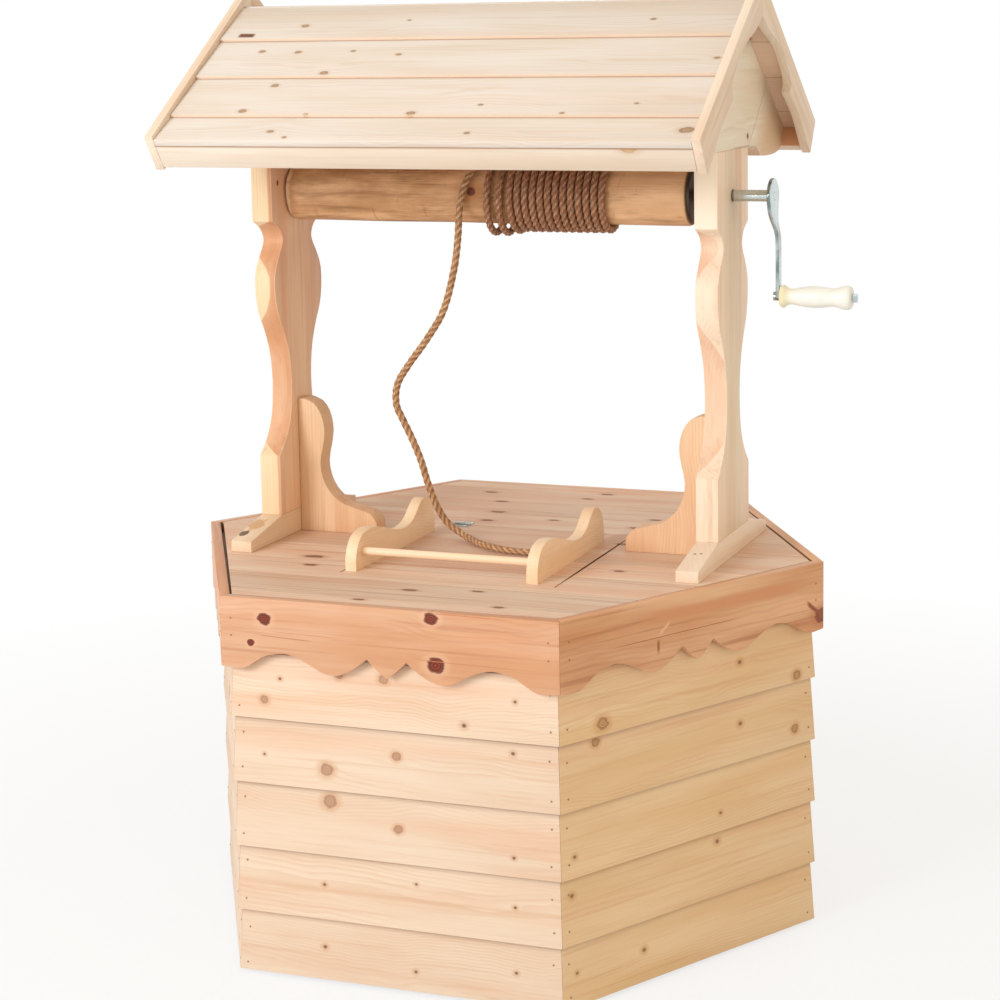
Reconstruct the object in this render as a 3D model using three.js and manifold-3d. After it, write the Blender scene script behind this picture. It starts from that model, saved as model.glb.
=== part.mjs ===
// Wishing well planter: a hexagonal boarded base with a hinged hatch, two shaped posts,
// a rope windlass with a hand crank, and a gabled board roof.
// Millimetres, +Z up, +X towards the crank. It is drawn about the centre of the hexagon on the
// ground, then moved in X so that the origin is the middle of its overall box.
import * as THREE from 'three';
import { mergeVertices } from 'three/addons/utils/BufferGeometryUtils.js';
import Module from 'manifold-3d';

const wasm = await Module();
wasm.setup();

// Clearances
const FIT = 0.3; // between pieces that are cut to each other
const TURN_FIT = 0.4; // round a pin or shaft that turns
const OVERRUN = 5; // how far a cutter runs past what it cuts

// Hexagonal base
const SIDES = 6;
const DECK_THICK = 18;
const CLAD_APOTHEM = 450; // centre to the lower edge of a course
const COURSE_HEIGHT = 100;
const COURSES = 5;
const RAIL_HEIGHT = 67; // plain boarding above the courses, behind the apron
const COURSE_LIP = 6.5; // how far a course's lower edge stands out
const BOARD_THIN = 11.5; // thickness at the upper edge of a course
const GROUND_GAP = 6; // the boards stop short of the ground, the studs do not
const STUD_WIDTH = 38;
const STUD_DEPTH = 35;
const APRON_THICK = 16;
const APRON_DROP = 108;
const DECK_SHORT = 5; // the deck stops short of the apron on two sides
const JOIST_WIDTH = 38;
const JOIST_HEIGHT = 60;

// Deck boards
const BOARD_PITCH = 102;
const FRONT_BOARD = 138; // from the foot of the boarding back to the first full joint
const GROOVE_WIDTH = 2;
const GROOVE_DEPTH = 1.5;

// Hatch
const HATCH_LEFT_MARGIN = 91.4; // to the inner corners of the boarding
const HATCH_RIGHT_MARGIN = 60.4;
const HATCH_FRONT_MARGIN = 177; // to the foot of the boarding
const HATCH_LENGTH = 366;
const HATCH_SIDE_GAP = 3;
const HATCH_END_GAP = 1.5;
const BATTEN_WIDTH = 60;
const BATTEN_THICK = 18;
const BATTEN_MARGIN = 73.5; // hatch edge to batten middle
const BATTEN_INSET = 22;
const BRACKET_THICK = 18;
const HANDLE_LEFT_MARGIN = 3;
const HANDLE_RIGHT_MARGIN = 29;
const BRACKET_SETBACK = 8;
const BRACKET_LENGTH = 305;
const BRACKET_HEIGHT = 63;
const DOWEL_RADIUS = 6;
const DOWEL_SETBACK = 27;
const DOWEL_RISE = 27;
const HINGE_LEFT_MARGIN = 48;
const HINGE_RIGHT_MARGIN = 79;
const HINGE_LENGTH = 30;
const LEAF_WIDTH = 17;
const LEAF_THICK = 1.6;
const KNUCKLE_RADIUS = 2.6;
const HINGE_PIN_RADIUS = 1.2;
const KNUCKLE_GAP = 0.4;

// Posts, their feet and gussets
const TIMBER = 36;
const POST_FROM_CORNER = 124.84; // outer face to the corner of the deck
const POST_HALF_DEPTH = 87;
const POST_HEIGHT = 595;
const FOOT_HALF_LENGTH = 195;
const FOOT_HEIGHT = 39;
const FOOT_END_HEIGHT = 18;
const GUSSET_REACH = 137;
const GUSSET_HEIGHT = 222;

// Roof, measured down the slope from the apex of the barge boards
const ROOF_RISE = 260; // post top to apex
const PITCH = THREE.MathUtils.degToRad(34.4);
const SLOPE_LENGTH = 405;
const SLOPE_START = 45;
const ROOF_SINK = 6; // the boards lie this far under the barge's top edge
const ROOF_LIP = 5;
const ROOF_UNDERSIDE = 22;
const BARGE_OVERHANG = 48; // outer face beyond the post's
const BARGE_THICK = 14;
const BARGE_DEPTH = 62;
const FASCIA_THICK = 14;
const FASCIA_TOP = 9;
const FASCIA_DEPTH = 57;
const RIDGE_CAP_THICK = 11.5;
const NOSE_DROP = 11.2; // the gable's nose below its end at the eave

// Windlass
const ROLLER_BELOW_TOP = 70; // axis to the post's top
const ROLLER_RADIUS = 49;
const ROLLER_LEFT_GAP = 3;
const ROLLER_RIGHT_GAP = 26;
const ROLLER_CHAMFER = 7;
const PIN_RADIUS = 6;
const PIN_IN_POST = 24;
const PIN_IN_ROLLER = 60;
const PLATE_RADIUS = 42;
const PLATE_THICK = 4;
const SHAFT_RADIUS = 9;
const SPIGOT_RADIUS = 6;
const ARM_CLEAR = 12; // between the barge board and the arm
const ARM_THICK = 6;
const ARM_LENGTH = 153;
const ARM_HEAD_RADIUS = 27;
const ARM_TIP_RADIUS = 7;
const ARM_NECK = 58; // below the shaft, where the head has narrowed to the bar
const ARM_BEND = 76; // below the shaft, where the bar has stepped out
const ARM_OFFSET = 9; // the bar stands out from the head
const GRIP_LENGTH = 112;
const GRIP_RADIUS = 18.5;
const BOLT_RADIUS = 4;
const BOLT_HEAD_RADIUS = 7;
const BOLT_HEAD_THICK = 4;
const NUT_RADIUS = 7;
const NUT_THICK = 7;

// Rope
const ROPE_RADIUS = 6;
const ROPE_PITCH = 12.65;
const ROPE_TURNS = 15;
const ROPE_START_X = -10;
const LOOSE_TURNS = 2.4; // the first turns lie wider apart
const LOOSE_SPREAD = 18.7; // by this much in all
const SAG_DEPTH = 7; // the first two turns hang loose
const ROPE_SAG_TURNS = 2;
const ROPE_LEAD = 12; // a straight end, one rope diameter long

// The rope's free end: over the roller's front, down, and onto the hatch
const TAIL_ROUTE = [
  [-10, -12, 1204.77], [-10, -17, 1204.77], [-15, -34, 1197.5], [-26, -50, 1178], [-35, -58, 1152],
  [-40, -60, 1120],
  [-43, -60, 1080], [-51, -60, 1030], [-71, -58, 966], [-102, -56, 918], [-135, -52, 877],
  [-158, -48, 843], [-163, -44, 810], [-154, -40, 784], [-140, -36, 752], [-127, -32, 716],
  [-118, -28, 680], [-107, -23, 645], [-91, -16, 614], [-64, -18, 596.5], [-35, -40, 591.7],
  [-2, -68, 591.7], [38, -88, 591.7], [80, -94, 591.7], [124, -92, 591.7],
];
const TAIL_STEPS = 44;
const TAIL_SIDES = 8;

// Segments of curved faces
const ROUND_SEGMENTS = 40;
const SMALL_SEGMENTS = 20;
const CURVE_STEPS = 7;

// Outlines as shares of the size that they follow
// A scalloped edge from its middle to one end: share of the half length, share of the depth
const APRON_POINT_SHARES = [[0, 0.97], [0.06, 0.86], [0.117, 0.722]];
const APRON_WAVE_SHARES = [
  [0.117, 0.722], [0.17, 0.83], [0.235, 0.93], [0.31, 0.99], [0.38, 0.97], [0.45, 0.88], [0.53, 0.79],
  [0.6, 0.745], [0.66, 0.755], [0.735, 0.8], [0.8, 0.9], [0.86, 0.985], [0.92, 1], [1, 0.98],
];
// Lower edge of a barge board from the apex to its beak, and from there to the eave
const BARGE_UPPER_SHARES = [
  [0, 0.77], [0.12, 0.77], [0.2, 0.7], [0.28, 0.55], [0.35, 0.44], [0.43, 0.41], [0.5, 0.45], [0.56, 0.54],
  [0.583, 0.7], [0.575, 0.9],
];
const BARGE_LOWER_SHARES = [
  [0.575, 0.9], [0.64, 0.86], [0.73, 0.82], [0.8, 0.84], [0.87, 0.92], [0.94, 0.99], [1, 1],
];
// Where each roof board's showing face starts, as a share of the way down to the fascia
const ROOF_LAP_SHARES = [0, 0.275, 0.564, 0.853];
// Post edge between its lower and upper blocks: share of the half depth, share of the height
const POST_EDGE_SHARES = [
  [1, 0.165], [0.72, 0.205], [0.52, 0.254], [0.43, 0.313], [0.42, 0.38], [0.5, 0.447], [0.68, 0.506],
  [0.88, 0.556], [0.97, 0.607], [0.96, 0.662], [0.8, 0.705], [0.64, 0.736], [0.6, 0.758],
  [0.72, 0.785], [1, 0.807],
];
// Gusset face from its foot to its top: share of the reach, share of the height
const GUSSET_FACE_SHARES = [
  [1, 0.09], [0.92, 0.155], [0.73, 0.19], [0.55, 0.225], [0.4, 0.3], [0.31, 0.4], [0.28, 0.52],
  [0.325, 0.66], [0.345, 0.765], [0.31, 0.88], [0.22, 0.965], [0.09, 1],
];
// Top of a handle bracket from front to back: share of the length, share of the height
const BRACKET_TOP_SHARES = [
  [0, 0.27], [0.02, 0.55], [0.065, 0.78], [0.13, 0.88], [0.21, 0.89], [0.33, 0.78], [0.46, 0.59],
  [0.56, 0.49], [0.66, 0.5], [0.73, 0.62], [0.785, 0.82], [0.83, 0.96], [0.87, 1], [0.92, 0.95],
  [0.96, 0.8], [0.99, 0.55], [1, 0.25],
];
// Underside of the gable from the post to the eave: share of the way out, share of the rise
const GABLE_ARCH_SHARES = [[0, 1], [0.09, 1], [0.2, 0.98], [0.27, 0.8], [0.32, 0.45], [0.36, 0.1]];
const GABLE_NOSE_SHARES = [[0.36, 0.1], [0.5, 0], [0.68, 0], [0.82, 0.08], [0.93, 0.25]];
// Crank grip: share of the length, share of the radius
const GRIP_SHARES = [
  [0, 0.86], [0.03, 0.95], [0.07, 0.9], [0.13, 0.68], [0.2, 0.68], [0.32, 0.82], [0.45, 0.9],
  [0.58, 0.86], [0.7, 0.77], [0.79, 0.8], [0.88, 0.98], [0.93, 1], [0.98, 0.92], [1, 0.8],
];

// Sizes worked out from the ones above
const SIDE_ANGLE = Math.PI / SIDES;
const CLAD_INNER = CLAD_APOTHEM - COURSE_LIP - BOARD_THIN;
const CLAD_RAIL = CLAD_APOTHEM - COURSE_LIP;
const CLAD_TOP = COURSES * COURSE_HEIGHT + RAIL_HEIGHT;
const DECK_TOP = CLAD_TOP + DECK_THICK;
const APRON_INNER = courseFace(DECK_TOP - APRON_DROP) + FIT;
const APRON_OUTER = APRON_INNER + APRON_THICK;
const DECK_APOTHEM = APRON_INNER - FIT;
const INNER_CORNER = CLAD_INNER * Math.tan(SIDE_ANGLE);
const FRONT_JOINT = FRONT_BOARD - CLAD_APOTHEM;
const HATCH_LEFT = HATCH_LEFT_MARGIN - INNER_CORNER;
const HATCH_RIGHT = INNER_CORNER - HATCH_RIGHT_MARGIN;
const HATCH_FRONT = HATCH_FRONT_MARGIN - CLAD_APOTHEM;
const HATCH_BACK = HATCH_FRONT + HATCH_LENGTH;
const HANDLE_LEFT = HATCH_LEFT + HANDLE_LEFT_MARGIN;
const HANDLE_RIGHT = HATCH_RIGHT - HANDLE_RIGHT_MARGIN;
const BRACKET_FRONT = HATCH_FRONT + BRACKET_SETBACK;
const DOWEL_Y = BRACKET_FRONT + DOWEL_SETBACK;
const POST_OUTER = DECK_APOTHEM / Math.cos(SIDE_ANGLE) - POST_FROM_CORNER;
const POST_INNER = POST_OUTER - TIMBER;
const POST_BASE = DECK_TOP + FOOT_HEIGHT;
const POST_TOP = POST_BASE + POST_HEIGHT;
const APEX_HEIGHT = POST_TOP + ROOF_RISE;
const ROLLER_AXIS_HEIGHT = POST_TOP - ROLLER_BELOW_TOP;
const ROLLER_LEFT = ROLLER_LEFT_GAP - POST_INNER;
const ROLLER_RIGHT = POST_INNER - ROLLER_RIGHT_GAP;
const HINGE_Y = HATCH_BACK + HATCH_END_GAP / 2;
const HINGE_Z = DECK_TOP + KNUCKLE_RADIUS;
const BARGE_OUTER = POST_OUTER + BARGE_OVERHANG;
const BARGE_INNER = BARGE_OUTER - BARGE_THICK;
const FASCIA_START = SLOPE_LENGTH - FASCIA_THICK;
const ARM_INNER = BARGE_OUTER + ARM_CLEAR;
const ARM_TIP_INNER = ARM_INNER + ARM_OFFSET;
const GRIP_START = ARM_TIP_INNER + ARM_THICK + TURN_FIT;
const GRIP_AXIS_HEIGHT = ROLLER_AXIS_HEIGHT - ARM_LENGTH;
const COIL_STEPS = 24;
const COIL_SIDES = 6;
const COIL_RADIUS = (ROLLER_RADIUS + ROPE_RADIUS + FIT) / Math.cos(Math.PI / COIL_STEPS);

// Face of the boarding at a height, as a distance from the centre
function courseFace(height) {
  const shareUp = (height % COURSE_HEIGHT) / COURSE_HEIGHT;
  return CLAD_APOTHEM - COURSE_LIP * shareUp;
}

// Materials
function material(color, roughness, metalness = 0) {
  return new THREE.MeshStandardMaterial({ color, roughness, metalness });
}
const BOARD_PINE = material(0xe9c9a3, 0.72);
const APRON_PINE = material(0xd08a5c, 0.62);
const DECK_PINE = material(0xd3ab86, 0.68);
const POST_PINE = material(0xe6c39a, 0.66);
const ROOF_PINE = material(0xecdcc6, 0.72);
const ROUND_POLE = material(0xa9713f, 0.8);
const ROPE = material(0x7a5230, 0.95);
const BRIGHT_STEEL = material(0xd2d5d6, 0.22, 1);
const IVORY_GRIP = material(0xf1ead2, 0.4);

// Drops normals, merges shared corners and turns the faces outwards
function closedMesh(geometry) {
  const bare = new THREE.BufferGeometry();
  bare.setAttribute('position', geometry.getAttribute('position').clone());
  if (geometry.index) bare.setIndex(geometry.index.clone());
  const merged = mergeVertices(bare, 1e-4);
  const corner = merged.getAttribute('position');
  const index = Array.from(merged.index.array);
  const kept = [];
  let volume = 0;
  const a = new THREE.Vector3();
  const b = new THREE.Vector3();
  const c = new THREE.Vector3();
  for (let i = 0; i < index.length; i += 3) {
    const [p, q, r] = index.slice(i, i + 3);
    if (p === q || q === r || r === p) continue;
    kept.push([p, q, r]);
    a.fromBufferAttribute(corner, p);
    b.fromBufferAttribute(corner, q);
    c.fromBufferAttribute(corner, r);
    volume += a.dot(b.cross(c));
  }
  const facing = volume < 0 ? kept.map(([p, q, r]) => [p, r, q]) : kept;
  merged.setIndex(facing.flat());
  return merged;
}

// Joins and cuts
function toSolid(geometry) {
  const mesh = closedMesh(geometry);
  return new wasm.Manifold(new wasm.Mesh({
    numProp: 3,
    vertProperties: new Float32Array(mesh.getAttribute('position').array),
    triVerts: new Uint32Array(mesh.index.array),
  }));
}
function toGeometry(solid) {
  const mesh = solid.getMesh();
  const geometry = new THREE.BufferGeometry();
  geometry.setAttribute('position', new THREE.BufferAttribute(new Float32Array(mesh.vertProperties), 3));
  geometry.setIndex(Array.from(mesh.triVerts));
  return geometry;
}
function cut(geometry, ...cutters) {
  return toGeometry(cutters.reduce((left, cutter) => left.subtract(toSolid(cutter)), toSolid(geometry)));
}
function join(geometry, ...others) {
  return toGeometry(others.reduce((sum, other) => sum.add(toSolid(other)), toSolid(geometry)));
}
function overlap(geometry, other) {
  return toGeometry(toSolid(geometry).intersect(toSolid(other)));
}

// Plates cut to an outline of [first, second] coordinates
function extrudeOutline(outline, thickness) {
  const shape = new THREE.Shape(outline.map(([u, v]) => new THREE.Vector2(u, v)));
  return new THREE.ExtrudeGeometry(shape, { depth: thickness, bevelEnabled: false });
}
// Outline in Y and Z, thickness along X from startX
function plateAcross(outline, startX, thickness) {
  const turn = new THREE.Matrix4().makeBasis(
    new THREE.Vector3(0, 1, 0), new THREE.Vector3(0, 0, 1), new THREE.Vector3(1, 0, 0));
  return extrudeOutline(outline, thickness).applyMatrix4(turn).translate(startX, 0, 0);
}
// Outline in X and Z, thickness along Y, centred on centreY
function plateAlong(outline, centreY, thickness) {
  return extrudeOutline(outline, thickness).rotateX(Math.PI / 2).translate(0, centreY + thickness / 2, 0);
}
// Box between two corners
function block(x0, x1, y0, y1, z0, z1) {
  const geometry = new THREE.BoxGeometry(x1 - x0, y1 - y0, z1 - z0);
  return geometry.translate((x0 + x1) / 2, (y0 + y1) / 2, (z0 + z1) / 2);
}
// Turned piece: a profile of [radius, place along X], turned about an axis parallel to X
function turned(profile, axisY, axisZ, segments = ROUND_SEGMENTS) {
  const points = profile.map(([radius, along]) => new THREE.Vector2(radius, along));
  return new THREE.LatheGeometry(points, segments).rotateZ(-Math.PI / 2).translate(0, axisY, axisZ);
}
function rod(radius, x0, x1, axisY, axisZ, segments = SMALL_SEGMENTS) {
  return turned([[0, x0], [radius, x0], [radius, x1], [0, x1]], axisY, axisZ, segments);
}

// A smooth run through shares of a width and a height
function smoothRun(shares, width, height, steps = shares.length * 2) {
  const knots = shares.map(([u, v]) => new THREE.Vector2(u * width, v * height));
  return new THREE.SplineCurve(knots).getPoints(steps).map((point) => [point.x, point.y]);
}
// A scalloped edge from end to end: a middle point, then a wave to either end
function scallopedEdge(pointShares, waveShares, halfLength, depth) {
  const middle = smoothRun(pointShares, halfLength, depth, pointShares.length);
  const wave = smoothRun(waveShares, halfLength, depth);
  const half = [...middle, ...wave.slice(1)];
  const mirrored = half.slice(1).reverse().map(([along, drop]) => [-along, drop]);
  return [...mirrored, ...half];
}

// A straight run along one side of the hexagon, its ends cut on the lines to the corners.
// The profile is [distance from the centre, height], and the side faces +Y.
function mitredRun(profile) {
  const slope = Math.tan(SIDE_ANGLE);
  const gap = FIT / 2 / Math.cos(SIDE_ANGLE);
  const corners = [];
  for (const end of [-1, 1]) {
    for (const [distance, height] of profile) {
      corners.push(end * (distance * slope - gap), distance, height);
    }
  }
  const count = profile.length;
  const contour = profile.map(([distance, height]) => new THREE.Vector2(distance, height));
  const cap = THREE.ShapeUtils.triangulateShape(contour, []);
  const index = [];
  for (const [p, q, r] of cap) {
    index.push(p, q, r);
    index.push(p + count, r + count, q + count);
  }
  const clockwise = THREE.ShapeUtils.isClockWise(contour);
  for (let i = 0; i < count; i += 1) {
    const next = (i + 1) % count;
    const quad = clockwise ? [i, next, next + count, i + count] : [next, i, i + count, next + count];
    index.push(quad[0], quad[1], quad[2], quad[0], quad[2], quad[3]);
  }
  const geometry = new THREE.BufferGeometry();
  geometry.setAttribute('position', new THREE.Float32BufferAttribute(corners, 3));
  geometry.setIndex(index);
  return geometry;
}

const well = new THREE.Group();
function add(name, geometry, finish, parent = well) {
  const mesh = new THREE.Mesh(closedMesh(geometry), finish);
  mesh.name = name;
  parent.add(mesh);
  return mesh;
}

// Names of the sides, and of the corners at their right-hand ends, going round from the front
const SIDE_NAMES = ['front', 'front_right', 'back_right', 'back', 'back_left', 'front_left'];
const CORNER_NAMES = ['front_right', 'right', 'back_right', 'back_left', 'left', 'front_left'];
function turnToSide(mesh, side) {
  mesh.rotation.z = Math.PI + side * 2 * SIDE_ANGLE;
}

// Boarding: overlapping courses with a plain rail behind the apron
function claddingSide() {
  const profile = [[CLAD_INNER, GROUND_GAP]];
  for (let course = 0; course < COURSES; course += 1) {
    const foot = course === 0 ? GROUND_GAP : course * COURSE_HEIGHT;
    profile.push([courseFace(foot), foot]);
    profile.push([CLAD_RAIL, (course + 1) * COURSE_HEIGHT]);
  }
  profile.push([CLAD_RAIL, CLAD_TOP], [CLAD_INNER, CLAD_TOP]);
  return mitredRun(profile);
}

// Apron: a board with a scalloped lower edge, flush with the deck
function apronSide() {
  const low = DECK_TOP - APRON_DROP - OVERRUN;
  const run = mitredRun([
    [APRON_INNER, low], [APRON_OUTER, low], [APRON_OUTER, DECK_TOP], [APRON_INNER, DECK_TOP],
  ]);
  const halfLength = APRON_OUTER * Math.tan(SIDE_ANGLE);
  const edge = scallopedEdge(APRON_POINT_SHARES, APRON_WAVE_SHARES, halfLength, APRON_DROP);
  const outline = edge.map(([along, drop]) => [along, DECK_TOP - drop]);
  outline.unshift([-halfLength - OVERRUN, outline[0][1]]);
  outline.push([halfLength + OVERRUN, outline[outline.length - 1][1]]);
  outline.push([halfLength + OVERRUN, DECK_TOP + OVERRUN], [-halfLength - OVERRUN, DECK_TOP + OVERRUN]);
  return overlap(run, plateAlong(outline, APRON_INNER, APRON_THICK * 2 + OVERRUN));
}

// Corner stud: fits the inside of a corner and carries the boards and the deck
function cornerStud() {
  const face = CLAD_INNER - FIT;
  const cornerX = face * Math.tan(SIDE_ANGLE);
  const along = [Math.cos(2 * SIDE_ANGLE), -Math.sin(2 * SIDE_ANGLE)];
  const inward = [-Math.sin(2 * SIDE_ANGLE), -Math.cos(2 * SIDE_ANGLE)];
  const far = [cornerX + along[0] * STUD_WIDTH, face + along[1] * STUD_WIDTH];
  const outline = [
    [cornerX, face],
    [cornerX - STUD_WIDTH, face],
    [cornerX - STUD_WIDTH, face - STUD_DEPTH],
    [far[0] + inward[0] * STUD_DEPTH, far[1] + inward[1] * STUD_DEPTH],
    far,
  ];
  return extrudeOutline(outline, CLAD_TOP);
}

function buildSides() {
  for (let side = 0; side < SIDES; side += 1) {
    turnToSide(add(`cladding_${SIDE_NAMES[side]}`, claddingSide(), BOARD_PINE), side);
    turnToSide(add(`apron_${SIDE_NAMES[side]}`, apronSide(), APRON_PINE), side);
    const corner = CORNER_NAMES[(side + SIDES - 1) % SIDES];
    turnToSide(add(`corner_stud_${corner}`, cornerStud(), BOARD_PINE), side);
  }
}

// Deck: boards along X on the cladding and two joists, with an opening for the hatch
function deckSlab() {
  const corner = DECK_APOTHEM / Math.cos(SIDE_ANGLE);
  const half = corner / 2;
  const short = DECK_SHORT / Math.sin(2 * SIDE_ANGLE);
  const outline = [
    [-half - short / 2, -DECK_APOTHEM + FIT], [half, -DECK_APOTHEM], [corner, 0],
    [corner - short, 0], [half - short / 2, DECK_APOTHEM], [-half, DECK_APOTHEM],
    [-corner, 0], [-corner + short, 0],
  ];
  outline[0] = [-half + short / 2, -DECK_APOTHEM];
  outline[6] = [-corner + short / 2, short / 2 * Math.sin(2 * SIDE_ANGLE)];
  outline.splice(3, 1);
  outline[2] = [corner - short / 2, -short / 2 * Math.sin(2 * SIDE_ANGLE)];
  return extrudeOutline(outline, DECK_THICK).translate(0, 0, CLAD_TOP);
}
function boardGrooves(first, last) {
  const grooves = [];
  for (let y = FRONT_JOINT - BOARD_PITCH; y < DECK_APOTHEM; y += BOARD_PITCH) {
    if (y <= first + GROOVE_WIDTH || y >= last - GROOVE_WIDTH) continue;
    const half = GROOVE_WIDTH / 2;
    const outline = [[y, DECK_TOP - GROOVE_DEPTH], [y + half, DECK_TOP], [y + half, DECK_TOP + OVERRUN],
      [y - half, DECK_TOP + OVERRUN], [y - half, DECK_TOP]];
    grooves.push(plateAcross(outline, -APRON_OUTER * 2, APRON_OUTER * 4));
  }
  return grooves;
}
function deckPiece(x0, x1, y0, y1) {
  const piece = overlap(deckSlab(), block(x0, x1, y0, y1, CLAD_TOP - OVERRUN, DECK_TOP + OVERRUN));
  return cut(piece, ...boardGrooves(y0, y1));
}
function buildDeck() {
  const wide = APRON_OUTER * 2;
  const openingLeft = HATCH_LEFT - HATCH_SIDE_GAP;
  const openingRight = HATCH_RIGHT + HATCH_SIDE_GAP;
  const openingFront = HATCH_FRONT - HATCH_END_GAP;
  const openingBack = HATCH_BACK + HATCH_END_GAP;
  const secondJoint = FRONT_JOINT + BOARD_PITCH;
  const opening = block(openingLeft, openingRight, openingFront, openingBack,
    CLAD_TOP - OVERRUN, DECK_TOP + OVERRUN);
  const half = FIT / 2;
  add('deck_front_board', deckPiece(-wide, wide, -wide, FRONT_JOINT - half), DECK_PINE);
  const notched = deckPiece(-wide, wide, FRONT_JOINT + half, secondJoint - half);
  add('deck_notched_board', cut(notched, opening), DECK_PINE);
  add('deck_left_boards', deckPiece(-wide, openingLeft, secondJoint + half, openingBack - half), DECK_PINE);
  add('deck_right_boards', deckPiece(openingRight, wide, secondJoint + half, openingBack - half), DECK_PINE);
  add('deck_back_boards', deckPiece(-wide, wide, openingBack + half, wide), DECK_PINE);
  const end = CLAD_INNER - FIT;
  const underEdges = [[HATCH_LEFT - HATCH_SIDE_GAP / 2, 'left'], [HATCH_RIGHT + HATCH_SIDE_GAP / 2, 'right']];
  for (const [middle, name] of underEdges) {
    const joist = block(middle - JOIST_WIDTH / 2, middle + JOIST_WIDTH / 2, -end, end,
      CLAD_TOP - JOIST_HEIGHT, CLAD_TOP);
    add(`deck_joist_${name}`, joist, BOARD_PINE);
  }
}

// Hatch: a boarded panel on two battens, a handle of two shaped brackets and a dowel
function hatchPanel() {
  const panel = block(HATCH_LEFT, HATCH_RIGHT, HATCH_FRONT, HATCH_BACK, CLAD_TOP, DECK_TOP);
  return cut(panel, ...boardGrooves(HATCH_FRONT, HATCH_BACK));
}
function handleBracket(startX) {
  const top = smoothRun(BRACKET_TOP_SHARES, BRACKET_LENGTH, BRACKET_HEIGHT)
    .map(([along, rise]) => [BRACKET_FRONT + along, DECK_TOP + rise]);
  const outline = [[BRACKET_FRONT, DECK_TOP], ...top, [BRACKET_FRONT + BRACKET_LENGTH, DECK_TOP]];
  const plate = plateAcross(outline, startX, BRACKET_THICK);
  const hole = rod(DOWEL_RADIUS + FIT, startX - OVERRUN, startX + BRACKET_THICK + OVERRUN,
    DOWEL_Y, DECK_TOP + DOWEL_RISE);
  return cut(plate, hole);
}
function buildHatch() {
  add('hatch_panel', hatchPanel(), DECK_PINE);
  for (const [side, name] of [[-1, 'left'], [1, 'right']]) {
    const middle = side < 0 ? HATCH_LEFT + BATTEN_MARGIN : HATCH_RIGHT - BATTEN_MARGIN;
    const batten = block(middle - BATTEN_WIDTH / 2, middle + BATTEN_WIDTH / 2,
      HATCH_FRONT + BATTEN_INSET, HATCH_BACK - BATTEN_INSET, CLAD_TOP - BATTEN_THICK, CLAD_TOP);
    add(`hatch_batten_${name}`, batten, BOARD_PINE);
    const startX = side < 0 ? HANDLE_LEFT : HANDLE_RIGHT - BRACKET_THICK;
    add(`handle_bracket_${name}`, handleBracket(startX), POST_PINE);
  }
  const dowel = rod(DOWEL_RADIUS, HANDLE_LEFT, HANDLE_RIGHT, DOWEL_Y, DECK_TOP + DOWEL_RISE);
  add('handle_dowel', dowel, POST_PINE);
}

// Butt hinge: one leaf carries the pin and the end knuckles, the other the middle knuckle
function hingeLeaf(middle, toBack) {
  const third = HINGE_LENGTH / 3;
  const y0 = toBack ? HINGE_Y : HINGE_Y - LEAF_WIDTH;
  const leaf = block(middle - HINGE_LENGTH / 2, middle + HINGE_LENGTH / 2, y0, y0 + LEAF_WIDTH,
    DECK_TOP, DECK_TOP + LEAF_THICK);
  const knuckle = (x0, x1) => rod(KNUCKLE_RADIUS, x0, x1, HINGE_Y, HINGE_Z);
  const clear = (x0, x1) => rod(KNUCKLE_RADIUS + KNUCKLE_GAP, x0, x1, HINGE_Y, HINGE_Z);
  const left = middle - HINGE_LENGTH / 2;
  const right = middle + HINGE_LENGTH / 2;
  const halfThird = third / 2;
  if (toBack) {
    const open = cut(leaf, clear(middle - halfThird - KNUCKLE_GAP, middle + halfThird + KNUCKLE_GAP));
    const pin = rod(HINGE_PIN_RADIUS, left, right, HINGE_Y, HINGE_Z);
    return join(open, knuckle(left, middle - halfThird - KNUCKLE_GAP),
      knuckle(middle + halfThird + KNUCKLE_GAP, right), pin);
  }
  const open = cut(leaf, clear(left - OVERRUN, middle - halfThird),
    clear(middle + halfThird, right + OVERRUN));
  const eye = join(open, knuckle(middle - halfThird, middle + halfThird));
  const bore = rod(HINGE_PIN_RADIUS + FIT, left - OVERRUN, right + OVERRUN, HINGE_Y, HINGE_Z);
  return cut(eye, bore);
}
function buildHinges() {
  const middles = [[HATCH_LEFT + HINGE_LEFT_MARGIN, 'left'], [HATCH_RIGHT - HINGE_RIGHT_MARGIN, 'right']];
  for (const [middle, name] of middles) {
    add(`hinge_deck_leaf_${name}`, hingeLeaf(middle, true), BRIGHT_STEEL);
    add(`hinge_hatch_leaf_${name}`, hingeLeaf(middle, false), BRIGHT_STEEL);
  }
}

// Post: a plank sawn to a double-curved outline, with blocks left square at both ends
function post(side) {
  const height = POST_TOP - POST_BASE;
  const edge = smoothRun(POST_EDGE_SHARES, POST_HALF_DEPTH, height).map(([y, z]) => [y, POST_BASE + z]);
  const half = [[POST_HALF_DEPTH, POST_BASE], ...edge, [POST_HALF_DEPTH, POST_TOP]];
  const outline = [...half, ...half.slice().reverse().map(([y, z]) => [-y, z])];
  const startX = side < 0 ? -POST_OUTER : POST_INNER;
  const plank = plateAcross(outline, startX, TIMBER);
  if (side < 0) {
    const blind = rod(PIN_RADIUS + TURN_FIT, -POST_INNER - PIN_IN_POST, -POST_INNER + OVERRUN,
      0, ROLLER_AXIS_HEIGHT, ROUND_SEGMENTS);
    return cut(plank, blind);
  }
  const through = rod(SHAFT_RADIUS + TURN_FIT, POST_INNER - OVERRUN, POST_OUTER + OVERRUN,
    0, ROLLER_AXIS_HEIGHT, ROUND_SEGMENTS);
  return cut(plank, through);
}
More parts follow.
